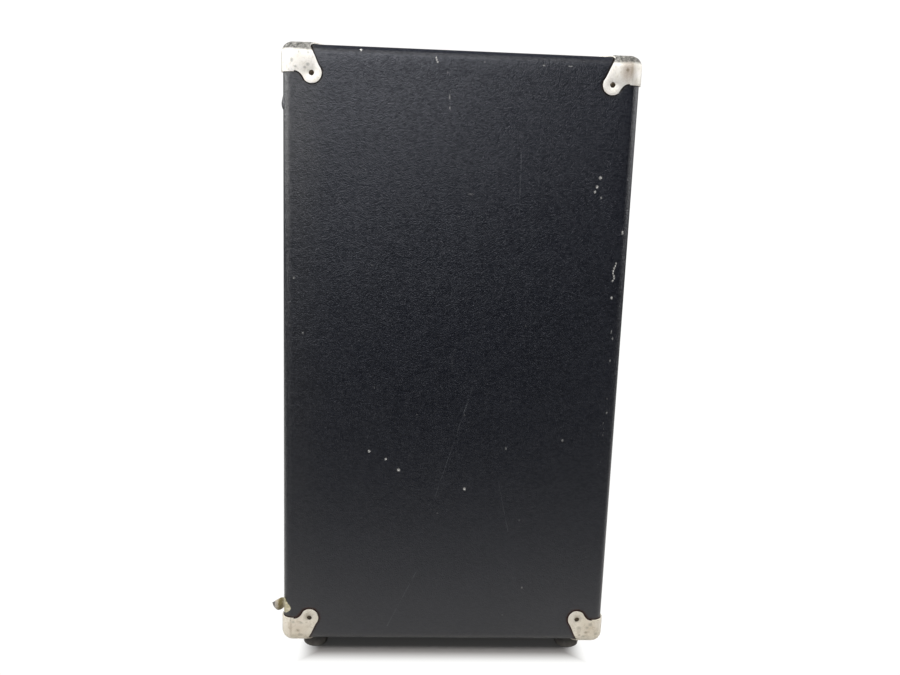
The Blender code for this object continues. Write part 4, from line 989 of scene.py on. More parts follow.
def corner_base():
    big = 0.16
    outer = shell_block("corner_outer", (-big, -PROUD, -big), (PROUD, big, PROUD), EDGE_R + PROUD, 10)
    inset = METAL - PROUD
    inner = shell_block("corner_inner", (-big - 0.01, inset, -big - 0.01), (-inset, big + 0.01, -inset), EDGE_R - inset, 10)
    side_m = Matrix(((0, 0, 1, 0), (1, 0, 0, 0), (0, -1, 0, 0), (0, 0, 0, 1)))
    side = prism("corner_side", ear_outline(0.0), -0.0135, 0.006, side_m)
    top_m = Matrix(((0, -1, 0, 0), (1, 0, 0, 0), (0, 0, 1, 0), (0, 0, 0, 1)))
    top = prism("corner_top", ear_outline(0.0035), -0.0135, 0.006, top_m)
    pts = [(0.006, 0.006), (-CAP, 0.006), (-CAP, -LIP + 0.002), (-CAP + 0.002, -LIP), (-LIP - 0.0035, -LIP), (-LIP - 0.001, -LIP - 0.001),
           (-LIP, -LIP - 0.0035), (-LIP, -CAP + 0.002), (-LIP + 0.002, -CAP), (0.006, -CAP)]
    lip_m = Matrix(((1, 0, 0, 0), (0, 0, 1, 0), (0, 1, 0, 0), (0, 0, 0, 1)))
    lip = prism("corner_lip", pts, -0.006, 0.0135, lip_m)
    cut(side, [top, lip], "UNION")
    cut(outer, [inner])
    cut(outer, [side], "INTERSECT")
    hu, hv = EAR_HOLE
    hole_a = lathe("hole_a", [(0, 12), (3.0, 12), (3.0, -12), (0, -12)], (0, hu, -hv), "x", M_NICKEL, steps=24)
    hole_b = lathe("hole_b", [(0, 12), (3.0, 12), (3.0, -12), (0, -12)], (-BASE_HOLE[1], BASE_HOLE[0], 0), "z", M_NICKEL, steps=24)
    cut(outer, [hole_a, hole_b])
    bm = bmesh.new()
    bm.from_mesh(outer.data)
    bmesh.ops.remove_doubles(bm, verts=bm.verts, dist=0.00002)
    bmesh.ops.dissolve_limit(bm, angle_limit=0.006, verts=bm.verts, edges=bm.edges)
    sharp = [e for e in bm.edges if e.is_manifold and e.calc_face_angle(0.0) > math.radians(38)]
    bmesh.ops.bevel(bm, geom=sharp, offset=0.00035, segments=2, profile=0.6, affect="EDGES", clamp_overlap=True)
    bmesh.ops.remove_doubles(bm, verts=bm.verts, dist=0.00001)
    # a light dimple round each screw
    for v in bm.verts:
        d1 = math.hypot(v.co.y - hu, v.co.z + hv)
        if v.co.x > -0.002 and d1 < 0.0046:
            v.co.x -= 0.00035 * (1 - max(0.0, d1 - 0.003) / 0.0016)
    bmesh.ops.triangulate(bm, faces=[f for f in bm.faces if len(f.verts) > 4])
    bmesh.ops.recalc_face_normals(bm, faces=bm.faces)
    me = bpy.data.meshes.new("metal_corner")
    bm.to_mesh(me)
    bm.free()
    old = outer.data
    bpy.data.objects.remove(outer)
    bpy.data.meshes.remove(old)
    return me


corner_me = corner_base()
ear_screw = screw_mesh(2.85, 1.1)
for fb, sy in (("front", 1), ("rear", -1)):
    for lr, sx in (("right", 1), ("left", -1)):
        for tb, sz in (("top", 1), ("bottom", -1)):
            me = corner_me.copy()
            flip = Matrix.Diagonal((sx, sy, sz, 1))
            me.transform(Matrix.Translation((sx * HX, -sy * HY, Z1 if sz > 0 else Z0)) @ flip)
            if sx * sy * sz < 0:
                me.flip_normals()
            tag = f"{fb}_{lr}_{tb}"
            ob = add_object("metal_corner_" + tag, me, M_NICKEL, 32)
            declare(ob, "cabinet", "nickel", "corner_" + tag)
            places = [Matrix.Translation((sx * (HX + PROUD - 0.0012), -sy * (HY - EAR_HOLE[0]), (Z1 - EAR_HOLE[1]) if sz > 0 else (Z0 + EAR_HOLE[1])))
                      @ Matrix.Rotation(math.pi / 2 * sx, 4, "Y")]
            if sz > 0:
                places.append(Matrix.Translation((sx * (HX - BASE_HOLE[1]), -sy * (HY - BASE_HOLE[0]), Z1 + PROUD - 0.0012)))
            s = stamp("corner_screws_" + tag, ear_screw, places, M_SCREW)
            declare(s, "cabinet", "steel")

# ------------------------------------------------------------------ feet
foot_top = (Z0 - PROUD - 0.0003) / mm
pan_screw = screw_mesh(3.0, 1.2)
for sx in (-1, 1):
    for sy in (-1, 1):
        tag = ("front" if sy < 0 else "rear") + ("_left" if sx < 0 else "_right")
        at = (sx * (HX - BASE_HOLE[1]), sy * (HY - BASE_HOLE[0]), 0)
        prof = fillet([(3.0, foot_top), (16.6, foot_top), (16.6, 12.5), (15.2, 1.6), (13.2, 0.0), (7.2, 0.0), (6.2, 8.5), (3.0, 8.5)], 0.9, 4)
        foot = lathe("foot_" + tag, prof, at, "z", M_FOOT, steps=64, closed=True)
        declare(foot, "cabinet", "rubber", "rubber_foot_" + tag)
        s = stamp("foot_screw_head_" + tag, pan_screw, [Matrix.Translation((at[0], at[1], 0.0075)) @ Matrix.Rotation(math.pi, 4, "X")], M_STEEL)
        w = lathe("foot_washer_" + tag, fillet([(3.1, 8.4), (6.0, 8.4), (6.0, 7.5), (3.1, 7.5)], 0.2, 2), at, "z", M_STEEL, steps=32, closed=True)
        declare(join("foot_fixing_" + tag, [s, w]), "cabinet", "steel", "foot_screw_" + tag)

# ------------------------------------------------------------------ grille
g_lo, g_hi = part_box("grille_cloth")
GX, GZC, GZH = g_hi.x, (g_lo.z + g_hi.z) / 2, (g_hi.z - g_lo.z) / 2
GY0, GY1 = g_lo.y, g_hi.y


def grille_cover():
    """The cloth: stretched flat over the front, pulled round the frame's edge and a hand's width short of its middle behind."""
    bend = 2.4 * mm
    loops = []
    for t in (0.02, 0.12, 0.24, 0.36, 0.48, 0.60, 0.72, 0.83, 0.92, 0.97):
        loop = []
        for x, z in rrect(GX - bend, GZH - bend, 1.5 * mm, 3, 34, 40):
            q = Vector((x * t, z * t))
            give = 0.0006 * (1 - (q.x / GX) ** 2) * (1 - (q.y / GZH) ** 2)
            loop.append(Vector((q.x, GY0 + give + wobble((q.x, 0, q.y), 0.00012, 0.05, 3.0), GZC + q.y)))
        loops.append(loop)
    for k in range(7):
        a = math.radians(15 * k)
        d = bend * (1 - math.sin(a))
        loops.append([Vector((x, GY0 + bend * (1 - math.cos(a)), GZC + z)) for x, z in rrect(GX - d, GZH - d, 1.5 * mm + bend - d, 3, 34, 40)])
    for y in (GY0 + 0.0055, GY0 + 0.0085, GY1 - 0.0006):
        loops.append([Vector((x, y, GZC + z)) for x, z in rrect(GX, GZH, 1.5 * mm + bend, 3, 34, 40)])
    for d, y in ((0.0006, GY1 + 0.0001), (0.0016, GY1 + 0.0004), (0.006, GY1 + 0.0004), (0.014, GY1 + 0.0004), (0.020, GY1 + 0.0005)):
        loops.append([Vector((x, y + (wobble((x, 1, z), 0.0002, 0.01, 5.0) if d > 0.005 else 0), GZC + z)) for x, z in rrect(GX - d, GZH - d, 2.0 * mm, 3, 34, 40)])
    ob = loft("grille_cover", loops, M_WEAVE, angle=None, cap_start=True)
    declare(ob, "grille", "grille_cloth", "grille_cloth")


grille_cover()

# ------------------------------------------------------------------ woofer
WOOFER = (0.0, BAFFLE_Y, 0.285)
ring = lathe("woofer_rim", fillet([(193.1, 0.35), (193.1, 3.3), (167.9, 3.3), (167.9, 2.9), (168.1, 1.0), (192.0, 0.35)], 0.5, 3), WOOFER, "front", M_BLACK_METAL, steps=160, closed=True)
gasket = lathe("woofer_gasket", fillet([(167.6, 3.3), (180.5, 3.3), (180.5, 4.7), (169.0, 5.0), (167.6, 4.2)], 0.6, 3), WOOFER, "front", M_GASKET, steps=160, closed=True)
declare(ring, "cabinet", "black_metal")
declare(gasket, "cabinet", "black_metal")
bolt = screw_mesh(4.2, 2.0)
places = []
for k in range(8):
    a = math.radians(45 * k + 22.5)
    places.append(Matrix.Translation((0.1868 * math.cos(a), BAFFLE_Y - 0.0034, 0.285 + 0.1868 * math.sin(a))) @ Matrix.Rotation(math.pi / 2, 4, "X") @ Matrix.Rotation(k, 4, "Z"))
declare(stamp("woofer_bolts", bolt, places, M_SCREW), "cabinet", "steel")

cone_line = [tuple(p) for p in smooth_path([(39.6, -69.5), (54, -57.0), (71, -44.0), (90, -31.4), (111, -19.4), (130, -8.6), (147, 1.4)], 10)]
front = []
for r, h in cone_line:
    ripple = 0.28 * math.sin((r - 112) / 3.4) * max(0.0, min(1.0, (r - 108) / 8)) * max(0.0, min(1.0, (146 - r) / 5))
    front.append((r, h + ripple))
outer = [(151, 1.4)] + [(151, 0.3), (112, -20.9), (72, -45.4), (40.6, -70.8), (39.6, -70.5)]
cone = lathe("paper_cone", front + outer, WOOFER, "front", M_PAPER, steps=192, closed=True, angle=50)
declare(cone, "cone_assembly", "cone_paper", "cone")
cap_line = [tuple(p) for p in smooth_path([(0, -42.6), (9, -42.85), (18, -43.6), (26, -45.0), (34, -47.2), (41, -50.0), (46, -53.0), (50, -56.2), (52.5, -58.0)], 6)]
cap = lathe("domed_dust_cap", cap_line + [(51.8, -58.6), (45, -54.4), (33.4, -48.6), (17.8, -44.9), (0, -43.8)], WOOFER, "front", M_PAPER, steps=128, angle=50)
declare(cap, "cone_assembly", "cone_paper", "dust_cap")
bead = lathe("cap_glue_bead", [(51.0, -58.0), (52.4, -56.9), (54.6, -56.3), (56.0, -55.6), (55.0, -57.6), (52.0, -59.3)], WOOFER, "front", M_SCREW, steps=128, closed=True, angle=60,
             shape=lambda a, r, h: r + 0.35 * math.sin(a * 7 + 1) * (1 if r > 53 else 0))
declare(bead, "cone_assembly", "cone_paper")


def radial_weights(ob, r_in, r_out):
    """The soft ring follows the cone at its inner edge and the basket at its outer edge."""
    attr = ob.data.attributes["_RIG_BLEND"]
    vals = np.zeros(len(ob.data.vertices), dtype=np.float32)
    for i, v in enumerate(ob.data.vertices):
        r = math.hypot(v.co.x - WOOFER[0], v.co.z - WOOFER[2])
        t = max(0.0, min(1.0, (r_out - r) / (r_out - r_in)))
        vals[i] = t * t * (3 - 2 * t)
    attr.data.foreach_set("value", vals)


top_line, bottom_line = [], []
for k in range(61):
    t = k / 60
    r = 168.4 - (168.4 - 146.6) * t
    roll = max(0.0, min(1.0, (r - 150.6) / 1.5)) * max(0.0, min(1.0, (166.6 - r) / 1.5))
    h = 2.3 + roll * (1.9 + 1.9 * math.sin((r - 151.0) / 15.8 * 4 * math.pi - math.pi / 2))
    top_line.append((r, h + 0.35))
    bottom_line.append((r, h - 0.35))
surround = lathe("pleated_surround", top_line + bottom_line[::-1], WOOFER, "front", M_DOPED, steps=192, closed=True, angle=60)
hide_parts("surround")
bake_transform(surround, "cabinet", "cone_assembly", start=(0.168, BAFFLE_Y, 0.285), end=(0.147, BAFFLE_Y, 0.285))
radial_weights(surround, 0.1490, 0.1668)

sp_top, sp_bottom = [], []
for k in range(81):
    t = k / 80
    r = 80.5 - (80.5 - 39.8) * t
    roll = max(0.0, min(1.0, (r - 42.0) / 3)) * max(0.0, min(1.0, (78.0 - r) / 3))
    h = -79.6 + roll * 1.7 * math.sin((r - 42.0) / 36.0 * 8 * math.pi)
    sp_top.append((r, h + 0.3))
    sp_bottom.append((r, h - 0.3))
spider = lathe("pleated_spider", sp_top + sp_bottom[::-1], WOOFER, "front", M_DOPED, steps=128, closed=True, angle=60)
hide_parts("spider")
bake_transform(spider, "cabinet", "cone_assembly", start=(0.0805, BAFFLE_Y, 0.285), end=(0.0398, BAFFLE_Y, 0.285))
radial_weights(spider, 0.0420, 0.0790)

# ------------------------------------------------------------------ horn and ports
HORN = Vector((0, BAFFLE_Y, 0.600))


def super_ring(w, h, e, count=160):
    out = []
    for k in range(count):
        a = 2 * math.pi * (k + 0.5) / count
        c, s = math.cos(a), math.sin(a)
        out.append((w / 2 * math.copysign(abs(c) ** (2 / e), c), h / 2 * math.copysign(abs(s) ** (2 / e), s)))
    return out


keys = [(25.4, 25.4, 2.0, -112), (30.5, 27.6, 2.05, -106), (40, 31, 2.2, -99), (60, 38, 2.6, -84), (84, 46, 3.2, -68), (114, 55.5, 4.0, -49), (146, 66, 5, -30), (174, 76.5, 6.6, -12), (191, 84, 7.8, 0.6)]
inner = [tuple(p) for p in smooth_path([Vector(k) for k in keys], 5)]
rim = [(194.0, 85.4, 8, 2.9), (196.5, 87.0, 8, 3.7), (200, 90, 8.5, 4.0), (232, 120, 12, 4.0), (234.6, 122.6, 12, 3.6), (235.6, 123.6, 12, 2.6), (236, 124, 12, 0.3)]
back = [(201, 91, 8, 0.3), (151, 71, 5, -31), (89, 51, 3.2, -70), (46, 38, 2.2, -100), (42, 42, 2, -112)]
loops = [[HORN + Vector((x * mm, -f * mm, z * mm)) for x, z in super_ring(w, h, e)] for w, h, e, f in inner + rim + back]
horn = loft("horn_flare_moulding", loops, M_PLASTIC, angle=40, closed=True)
declare(horn, "cabinet", "black_plastic", "horn_flare")
places = [Matrix.Translation((sx * 0.109, BAFFLE_Y - 0.0038, 0.600 + sz * 0.0525)) @ Matrix.Rotation(math.pi / 2, 4, "X") @ Matrix.Rotation(sx + sz, 4, "Z")
          for sx in (-1, 1) for sz in (-1, 1)]
declare(stamp("horn_screws", screw_mesh(3.2, 1.3), places, M_SCREW), "cabinet", "steel")
p_lo, p_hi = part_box("port_tube_right")
PORT_X, PORT_Z = (p_lo.x + p_hi.x) / 2, (p_lo.z + p_hi.z) / 2
for side, sx in (("left", -1), ("right", 1)):
    prof = fillet([(48, 1.6), (47.2, 0.3), (41, 0.3), (41, -110), (38, -110), (38, -5), (38.6, -1.4), (40.4, 1.6), (43.4, 2.5), (46.6, 2.4)], 0.5, 3)
    tube = lathe("port_flange_" + side, prof, (sx * PORT_X, BAFFLE_Y, PORT_Z), "front", M_PLASTIC, steps=96, closed=True, angle=40)
    declare(tube, "cabinet", "black_plastic", "port_tube_" + side)

# ------------------------------------------------------------------ back panel and jack dish
DISH_Z = 0.170
bx, bz0, bz1 = k_hi.x, k_lo.z, k_hi.z
bzc, bzh = (bz0 + bz1) / 2, (bz1 - bz0) / 2


SKIN_Y = BACK_Y + 0.0004                   # a hair outside the board that it covers


def panel_skin():
    """Vinyl over the back board: turned round its edges, open where the jack dish sits."""
    nx, nz = 24, 30
    outer = rrect(bx, bzh, 1.2 * mm, 4, nx, nz)
    hole = rrect(0.0600, 0.0450, 1.2 * mm, 4, nx, nz)
    loops = []
    for y, d in ((SKIN_Y - 0.0144, 0.0), (SKIN_Y - 0.008, 0.0), (SKIN_Y - 0.0022, 0.0), (SKIN_Y - 0.0012, 0.00025), (SKIN_Y - 0.0005, 0.0008), (SKIN_Y - 0.0001, 0.0016), (SKIN_Y, 0.0026)):
        loops.append([Vector((x * (1 - d / bx), y, bzc + z * (1 - d / bzh))) for x, z in outer])
    for t in [0.03] + [k / 14 for k in range(1, 14)] + [0.97, 1.0]:
        loop = []
        for (x0, z0), (x1, z1) in zip(outer, hole):
            x, z = x0 * 0.99 + (x1 - x0 * 0.99) * t, (bzc + z0 * 0.99) + (DISH_Z + z1 - bzc - z0 * 0.99) * t
            fall = min(1.0, 6 * t, 6 * (1 - t) + 0.05)
            loop.append(Vector((x, SKIN_Y + wobble((x, 7, z), 0.00018, 0.09, 2.0) * fall, z)))
        loops.append(loop)
    loops.append([Vector((x, SKIN_Y - 0.014, DISH_Z + z)) for x, z in hole])
    ob = loft("back_panel_skin", loops, M_VINYL_BACK, angle=55)
    return ob


skin = panel_skin()
declare(skin, "cabinet", "black_vinyl")
places = []
for x in (-0.268, -0.134, 0.0, 0.134, 0.268):
    for z in (bz0 + 0.014, bz1 - 0.014):
        places.append((x, z))
for z in (bz0 + 0.132, bz0 + 0.249, bz0 + 0.366, bz0 + 0.483, bz0 + 0.566):
    for x in (-0.271, 0.271):
        places.append((x, z))
cup = lathe("cup", [(2.6, 0.2), (3.6, 1.2), (5.2, 1.5), (7.2, 1.2), (8.6, 0.0), (7.9, 0.0), (5.4, 0.6)], (0, 0, 0), "z", M_STEEL, steps=32, closed=True)
cup_me = cup.data.copy()
bpy.data.objects.remove(cup)
mats4 = [Matrix.Translation((x, BACK_Y + 0.00005, z)) @ Matrix.Rotation(-math.pi / 2, 4, "X") @ Matrix.Rotation(i * 1.3, 4, "Z") for i, (x, z) in enumerate(places)]
cups = stamp("cup_washers", cup_me, mats4, M_BLACK_METAL)
heads = stamp("panel_screws", screw_mesh(3.4, 1.3), [m @ Matrix.Translation((0, 0, 0.0010)) for m in mats4], M_STEEL)
declare(cups, "cabinet", "black_metal")
declare(heads, "cabinet", "steel")


def pressed_dish(name, half, depth, flange, top, r, matrix, mat, centre_shift=(0, 0)):
    """A pressed pan seen from its mouth: rounded flange edge, rolled lip, walls and a filleted floor."""
    arc, nx, ny = 8, 10, 8
    loops = []

    def ring(d, z, rad):
        loops.append([matrix @ Vector((x, y, z)) for x, y in rrect(half[0] + d, half[1] + d, max(rad, 0.0006), arc, nx, ny)])

    ring(flange - 0.0005, 0.00005, r + flange * 0.5)
    ring(flange, 0.0004, r + flange * 0.5)
    ring(flange - 0.0001, top - 0.0004, r + flange * 0.5)
    ring(flange - 0.0005, top, r + flange * 0.5 - 0.0004)
    ring(0.0022, top, r + 0.0022)
    for k in range(1, 6):
        a = math.radians(18 * k)
        ring(0.0022 * (1 - math.sin(a)), top - 0.0022 * (1 - math.cos(a)), r + 0.0022 * (1 - math.sin(a)))
    f = 0.0035
    ring(0.0, -depth + f, r)
    for k in range(1, 7):
        a = math.radians(15 * k)
        ring(-f * (1 - math.cos(a)), -depth + f * (1 - math.sin(a)), r - f * (1 - math.cos(a)) * 0.6)
    for t in (0.86, 0.6, 0.3, 0.02):
        loops.append([matrix @ Vector((x * t, y * t, -depth)) for x, y in rrect(half[0] - f, half[1] - f, max(r - f * 0.6, 0.0006), arc, nx, ny)])
    return loft(name, loops, mat, angle=40, cap_end=True)


FLOOR = BACK_Y + 0.0003 - 0.028
dish_m = Matrix.Translation((0, BACK_Y + 0.0003, DISH_Z)) @ Matrix.Rotation(-math.pi / 2, 4, "X")
jd = pressed_dish("jack_dish_pressing", (0.056, 0.041), 0.028, 0.011, 0.0013, 0.007, dish_m, M_BLACK_METAL)
declare(jd, "cabinet", "black_metal", "jack_dish")
places = [Matrix.Translation((x, BACK_Y + 0.0017, DISH_Z + z)) @ Matrix.Rotation(-math.pi / 2, 4, "X") @ Matrix.Rotation(x * 31 + z * 57, 4, "Z")
          for x in (-0.0615, 0.0615) for z in (-0.0465, 0.0465)]
declare(stamp("jack_dish_screws", screw_mesh(3.0, 1.2), places, M_SCREW), "cabinet", "steel")
for node, x in (("jack_input", -0.030), ("jack_link", 0.0)):
    at = (x, FLOOR, DISH_Z)
    washer = lathe(node + "_washer", fillet([(4.8, 0.15), (7.6, 0.15), (7.6, 0.95), (4.8, 0.95)], 0.2, 2), at, "rear", M_STEEL, steps=48, closed=True)
    bush = lathe(node + "_bush", fillet([(0, -24), (3.3, -24), (3.3, 4.6), (3.9, 5.5), (4.5, 5.5), (4.8, 5.2), (4.8, -1.6), (0, -1.6)], 0.15, 2, closed=False), at, "rear", M_STEEL, steps=48,
                 shape=lambda a, r, h: r + (0.09 * math.sin(h * 9.0) if r > 4.6 and h > 1.0 else 0.0))
    hexa = [(7.0 * mm * math.cos(math.radians(60 * k)), 7.0 * mm * math.sin(math.radians(60 * k))) for k in range(6)]
    nut = prism(node + "_nut", hexa, 0.95 * mm, 3.4 * mm, Matrix.Translation(at) @ Matrix.Rotation(-math.pi / 2, 4, "X") @ Matrix.Rotation(0.2 + x * 20, 4, "Z"), M_STEEL)
    hole = lathe("nut_hole", [(0, 9), (4.75, 9), (4.75, -4), (0, -4)], at, "rear", M_STEEL, steps=48)
    cut(nut, [hole])
    bev = nut.modifiers.new("edge", "BEVEL")
    bev.width, bev.segments, bev.limit_method, bev.angle_limit = 0.00035, 2, "ANGLE", math.radians(40)
    bake_modifiers(nut)
    body = lathe(node + "_body", fillet([(4.6, -1.9), (9.3, -1.9), (9.3, -27), (0, -27)], 0.6, 3, closed=False), at, "rear", M_PLASTIC, steps=48)
    declare(join(node + "_socket", [washer, bush, nut, body]), "cabinet", "steel", node)

POT = (0.032, FLOOR, DISH_Z)
knob_prof = fillet([(0, 17.2), (7.2, 17.2), (8.3, 16.2), (9.0, 6.4), (9.4, 5.4), (10.5, 5.0), (10.5, 1.4), (3.2, 1.4), (3.2, 13.2), (0, 13.2)], 0.5, 3, closed=False)
knob = lathe("fluted_knob", knob_prof, POT, "rear", M_PLASTIC, steps=144, angle=40,
             shape=lambda a, r, h: r - (0.45 * max(0.0, math.cos(18 * a)) ** 2 if 7.6 < r < 9.3 and 5.6 < h < 16.8 else 0.0))
line = [(-0.55 * mm, 2.6 * mm), (0.55 * mm, 2.6 * mm), (0.55 * mm, 7.4 * mm), (-0.55 * mm, 7.4 * mm)]
face = Matrix.Translation(POT) @ Matrix.Rotation(math.pi / 2, 4, "X") @ Matrix.Rotation(0, 4, "Z")
pointer_top = prism("knob_line", line, -17.45 * mm, -17.1 * mm, face, M_MARK)
ridge = shell_block("knob_ridge", (POT[0] - 0.0009, POT[1] + 0.0040, POT[2] + 0.0066), (POT[0] + 0.0009, POT[1] + 0.0160, POT[2] + 0.0097), 0.0004, 2)
ridge.data.materials.clear()
ridge.data.materials.append(M_MARK)
declare(join("level_knob_fluted", [knob, pointer_top, ridge]), "knob", "black_plastic", "level_knob")
ticks = []
for k in range(11):
    a = math.radians(-150 + 30 * k)
    m = Matrix.Translation((POT[0], FLOOR + 0.00004, POT[2])) @ Matrix.Rotation(-math.pi / 2, 4, "X") @ Matrix.Rotation(a + math.pi, 4, "Z")
    half, r0, r1 = (0.45 if k % 5 == 0 else 0.3) * mm, 11.6 * mm, (14.8 if k % 5 == 0 else 13.6) * mm
    ticks.append(prism("tick", [(-half, r0), (half, r0), (half, r1), (-half, r1)], 0, 0.00009, m, M_MARK))
declare(join("level_ticks", ticks), "cabinet", "black_metal")

# ------------------------------------------------------------------ handle
TOP = Z1 + 0.0003
hd = pressed_dish("handle_dish_pressing", (0.072, 0.041), 0.040, 0.012, 0.0014, 0.008, Matrix.Translation((0, 0, TOP)), M_BLACK_METAL)
declare(hd, "cabinet", "black_metal", "handle_dish")
places = [Matrix.Translation((x, y, TOP + 0.0018)) @ Matrix.Rotation(x * 20 + y * 33, 4, "Z") for x in (-0.078, 0.078) for y in (-0.0465, 0.0465)]
declare(stamp("handle_screws", screw_mesh(3.0, 1.2), places, M_SCREW), "cabinet", "steel")
AXIS_Y, AXIS_Z, REACH, BAIL_R = -0.031, TOP - 0.0094 + 0.0014, 0.053, 0.0038
bx0 = 0.072 - BAIL_R - 0.0022
half_path = [(0.0728, 0.0), (bx0 + 0.0030, 0.0)]
for k in range(1, 7):
    a = math.radians(15 * k)
    half_path.append((bx0 + 0.0030 - 0.0045 * math.sin(a), 0.0045 - 0.0045 * math.cos(a)))
bx2 = half_path[-1][0]
for k in range(0, 13):
    a = math.radians(7.5 * k)
    half_path.append((bx2 - 0.010 + 0.010 * math.cos(a), REACH - 0.010 + 0.010 * math.sin(a)))
path = half_path + [(-x, y) for x, y in reversed(half_path)]
cu = bpy.data.curves.new("bail_curve", "CURVE")
cu.dimensions, cu.bevel_depth, cu.bevel_resolution, cu.use_fill_caps = "3D", BAIL_R, 8, True
sp = cu.splines.new("POLY")
sp.points.add(len(path) - 1)
for q, (x, y) in zip(sp.points, path):
    q.co = (x, y + AXIS_Y, AXIS_Z, 1.0)
tmp = bpy.data.objects.new("bail_tmp", cu)
scene.collection.objects.link(tmp)
bpy.context.view_layer.update()
me = bpy.data.meshes.new_from_object(tmp.evaluated_get(bpy.context.evaluated_depsgraph_get()))
bpy.data.objects.remove(tmp)
bail = add_object("bail_rod", me, M_STEEL, 50)
declare(bail, "handle", "steel", "handle_bail")
grip_prof = [(4.2, 46), (7.4, 46), (8.2, 45.4), (8.8, 44.2)]
for k in range(121):
    h = 42.5 - 85 * k / 120
    grip_prof.append((8.75 - 0.55 * (max(0.0, math.cos(h / 3.4 * math.pi)) ** 6), h))
grip_prof += [(8.8, -44.2), (8.2, -45.4), (7.4, -46), (4.2, -46)]
grip = lathe("ribbed_grip", grip_prof, (0, AXIS_Y + REACH, AXIS_Z), "x", M_RUBBER, steps=64, closed=True, angle=50)
declare(grip, "handle", "rubber", "handle_grip")

# ------------------------------------------------------------------ CAD pieces that keep their shape
KEEP = {"side_panel_left": M_PLY_X, "side_panel_right": M_PLY_X, "top_panel": M_PLY_Z, "bottom_panel": M_PLY_Z, "baffle_board": M_BAFFLE, "back_panel": M_PLY_Y,
        "rear_cleat_left": M_PLY_Y, "rear_cleat_right": M_PLY_Y, "rear_cleat_top": M_PLY_Z, "rear_cleat_bottom": M_PLY_Z, "cross_brace": M_PLY_Z,
        "damping_wadding": M_WADDING, "woofer_basket": M_BLACK_METAL, "woofer_magnet": M_FERRITE, "woofer_pole_piece": M_IRON, "voice_coil": M_COIL,
        "horn_driver": M_BLACK_METAL, "grille_frame": M_PLY_Y, "level_pot": M_IRON, "crossover_board": M_BOARD, "crossover_coil": M_COPPER,
        "crossover_capacitor": M_PLASTIC, "wire_jacks_to_crossover": M_WIRE, "wire_crossover_to_woofer": M_WIRE, "wire_crossover_to_horn": M_WIRE}
for node, mat in KEEP.items():
    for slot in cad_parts[node].material_slots:
        slot.material = mat

# ------------------------------------------------------------------ floor and light
m_floor = bpy.data.materials.new("pale_floor")
m_floor.use_nodes = True
m_floor.node_tree.nodes.clear()
n = Nodes(m_floor.node_tree)
c = n.coord()
away = n.vmath("LENGTH", n.vmath("MAXIMUM", n.vmath("SUBTRACT", n.vmath("ABSOLUTE", c), (HX, HY, 1)), (0, 0, 0)))
seen = n.add("ShaderNodeLightPath").outputs["Is Camera Ray"]
# Seen by bounce and reflection rays, the floor's colour fades with distance from the box and is darker in front of it:
# a painted falloff of light that shapes the reflections in the covering.
painted_floor_falloff = n.ramp(away, [(0.0, (0.35, 0.343, 0.333)), (0.08, (0.34, 0.333, 0.323)), (0.20, (0.222, 0.219, 0.215)), (0.34, (0.165, 0.164, 0.162)), (0.50, (0.10, 0.10, 0.10)), (0.68, (0.012, 0.012, 0.012))])
east = n.range(n.vmath("DOT_PRODUCT", c, (1, 0, 0)), HX - 0.10, HX + 0.06, kind="SMOOTHSTEP")
painted_falloff_elsewhere = n.ramp(n.math("DIVIDE", away, 4.0), [(0.0, (0.44, 0.43, 0.415)), (0.06, (0.40, 0.395, 0.385)), (0.20, (0.34, 0.34, 0.335)), (0.50, (0.24, 0.24, 0.24)), (1.0, (0.05, 0.05, 0.05))])
across = n.range(n.math("ABSOLUTE", n.math("SUBTRACT", n.vmath("DOT_PRODUCT", c, (0, 1, 0)), 0.02)), 0.12, 0.80, kind="SMOOTHSTEP")
outward = n.range(n.vmath("DOT_PRODUCT", c, (1, 0, 0)), HX + 0.25, HX + 0.60, kind="SMOOTHSTEP")
painted_floor_falloff = n.mix(n.math("MULTIPLY", outward, n.math("SUBTRACT", 1.0, across)), painted_floor_falloff, n.vmath("SCALE", painted_floor_falloff, scale=0.82))
painted_floor_falloff = n.mix(n.math("MULTIPLY", n.math("MULTIPLY", outward, across), 0.55), painted_floor_falloff, (0.25, 0.25, 0.255))
painted_floor_falloff = n.mix(east, painted_falloff_elsewhere, painted_floor_falloff)
# Camera rays see the lit floor near the box in a slightly brown tone, blended into an even white glow further out; the
# tone paints the contact shadow's tint.
paper = n.add("ShaderNodeBsdfDiffuse")
n.put(paper.inputs["Color"], n.mix(seen, painted_floor_falloff, (0.185, 0.176, 0.170)))
glow = n.add("ShaderNodeEmission")
glow.inputs["Color"].default_value = (1.0, 1.0, 0.99, 1)
glow.inputs["Strength"].default_value = 1.05
shadow_fade_blend = n.add("ShaderNodeMixShader")
# Where the lit floor gives way to the glow sets how far the painted contact shadow reaches, less far beside the box
# than in front of it.
flat = n.add("ShaderNodeSeparateXYZ")
n.put(flat.inputs[0], n.vmath("SUBTRACT", n.vmath("ABSOLUTE", c), (HX, HY, 0)))
rim = n.math("MAXIMUM", flat.outputs[0], n.math("ADD", flat.outputs[1], 0.036))
n.put(shadow_fade_blend.inputs[0], n.math("MULTIPLY", seen, n.math("MAXIMUM", n.range(rim, -0.012, 0.022, kind="SMOOTHSTEP"), 0.026)))
n.put(shadow_fade_blend.inputs[1], paper.outputs[0])
n.put(shadow_fade_blend.inputs[2], glow.outputs[0])
n.put(n.add("ShaderNodeOutputMaterial").inputs["Surface"], shadow_fade_blend.outputs[0])
floor = add_mesh("floor", [(-9, -9, -0.0002), (9, -9, -0.0002), (9, 9, -0.0002), (-9, 9, -0.0002)], [(0, 1, 2, 3)], m_floor, None)

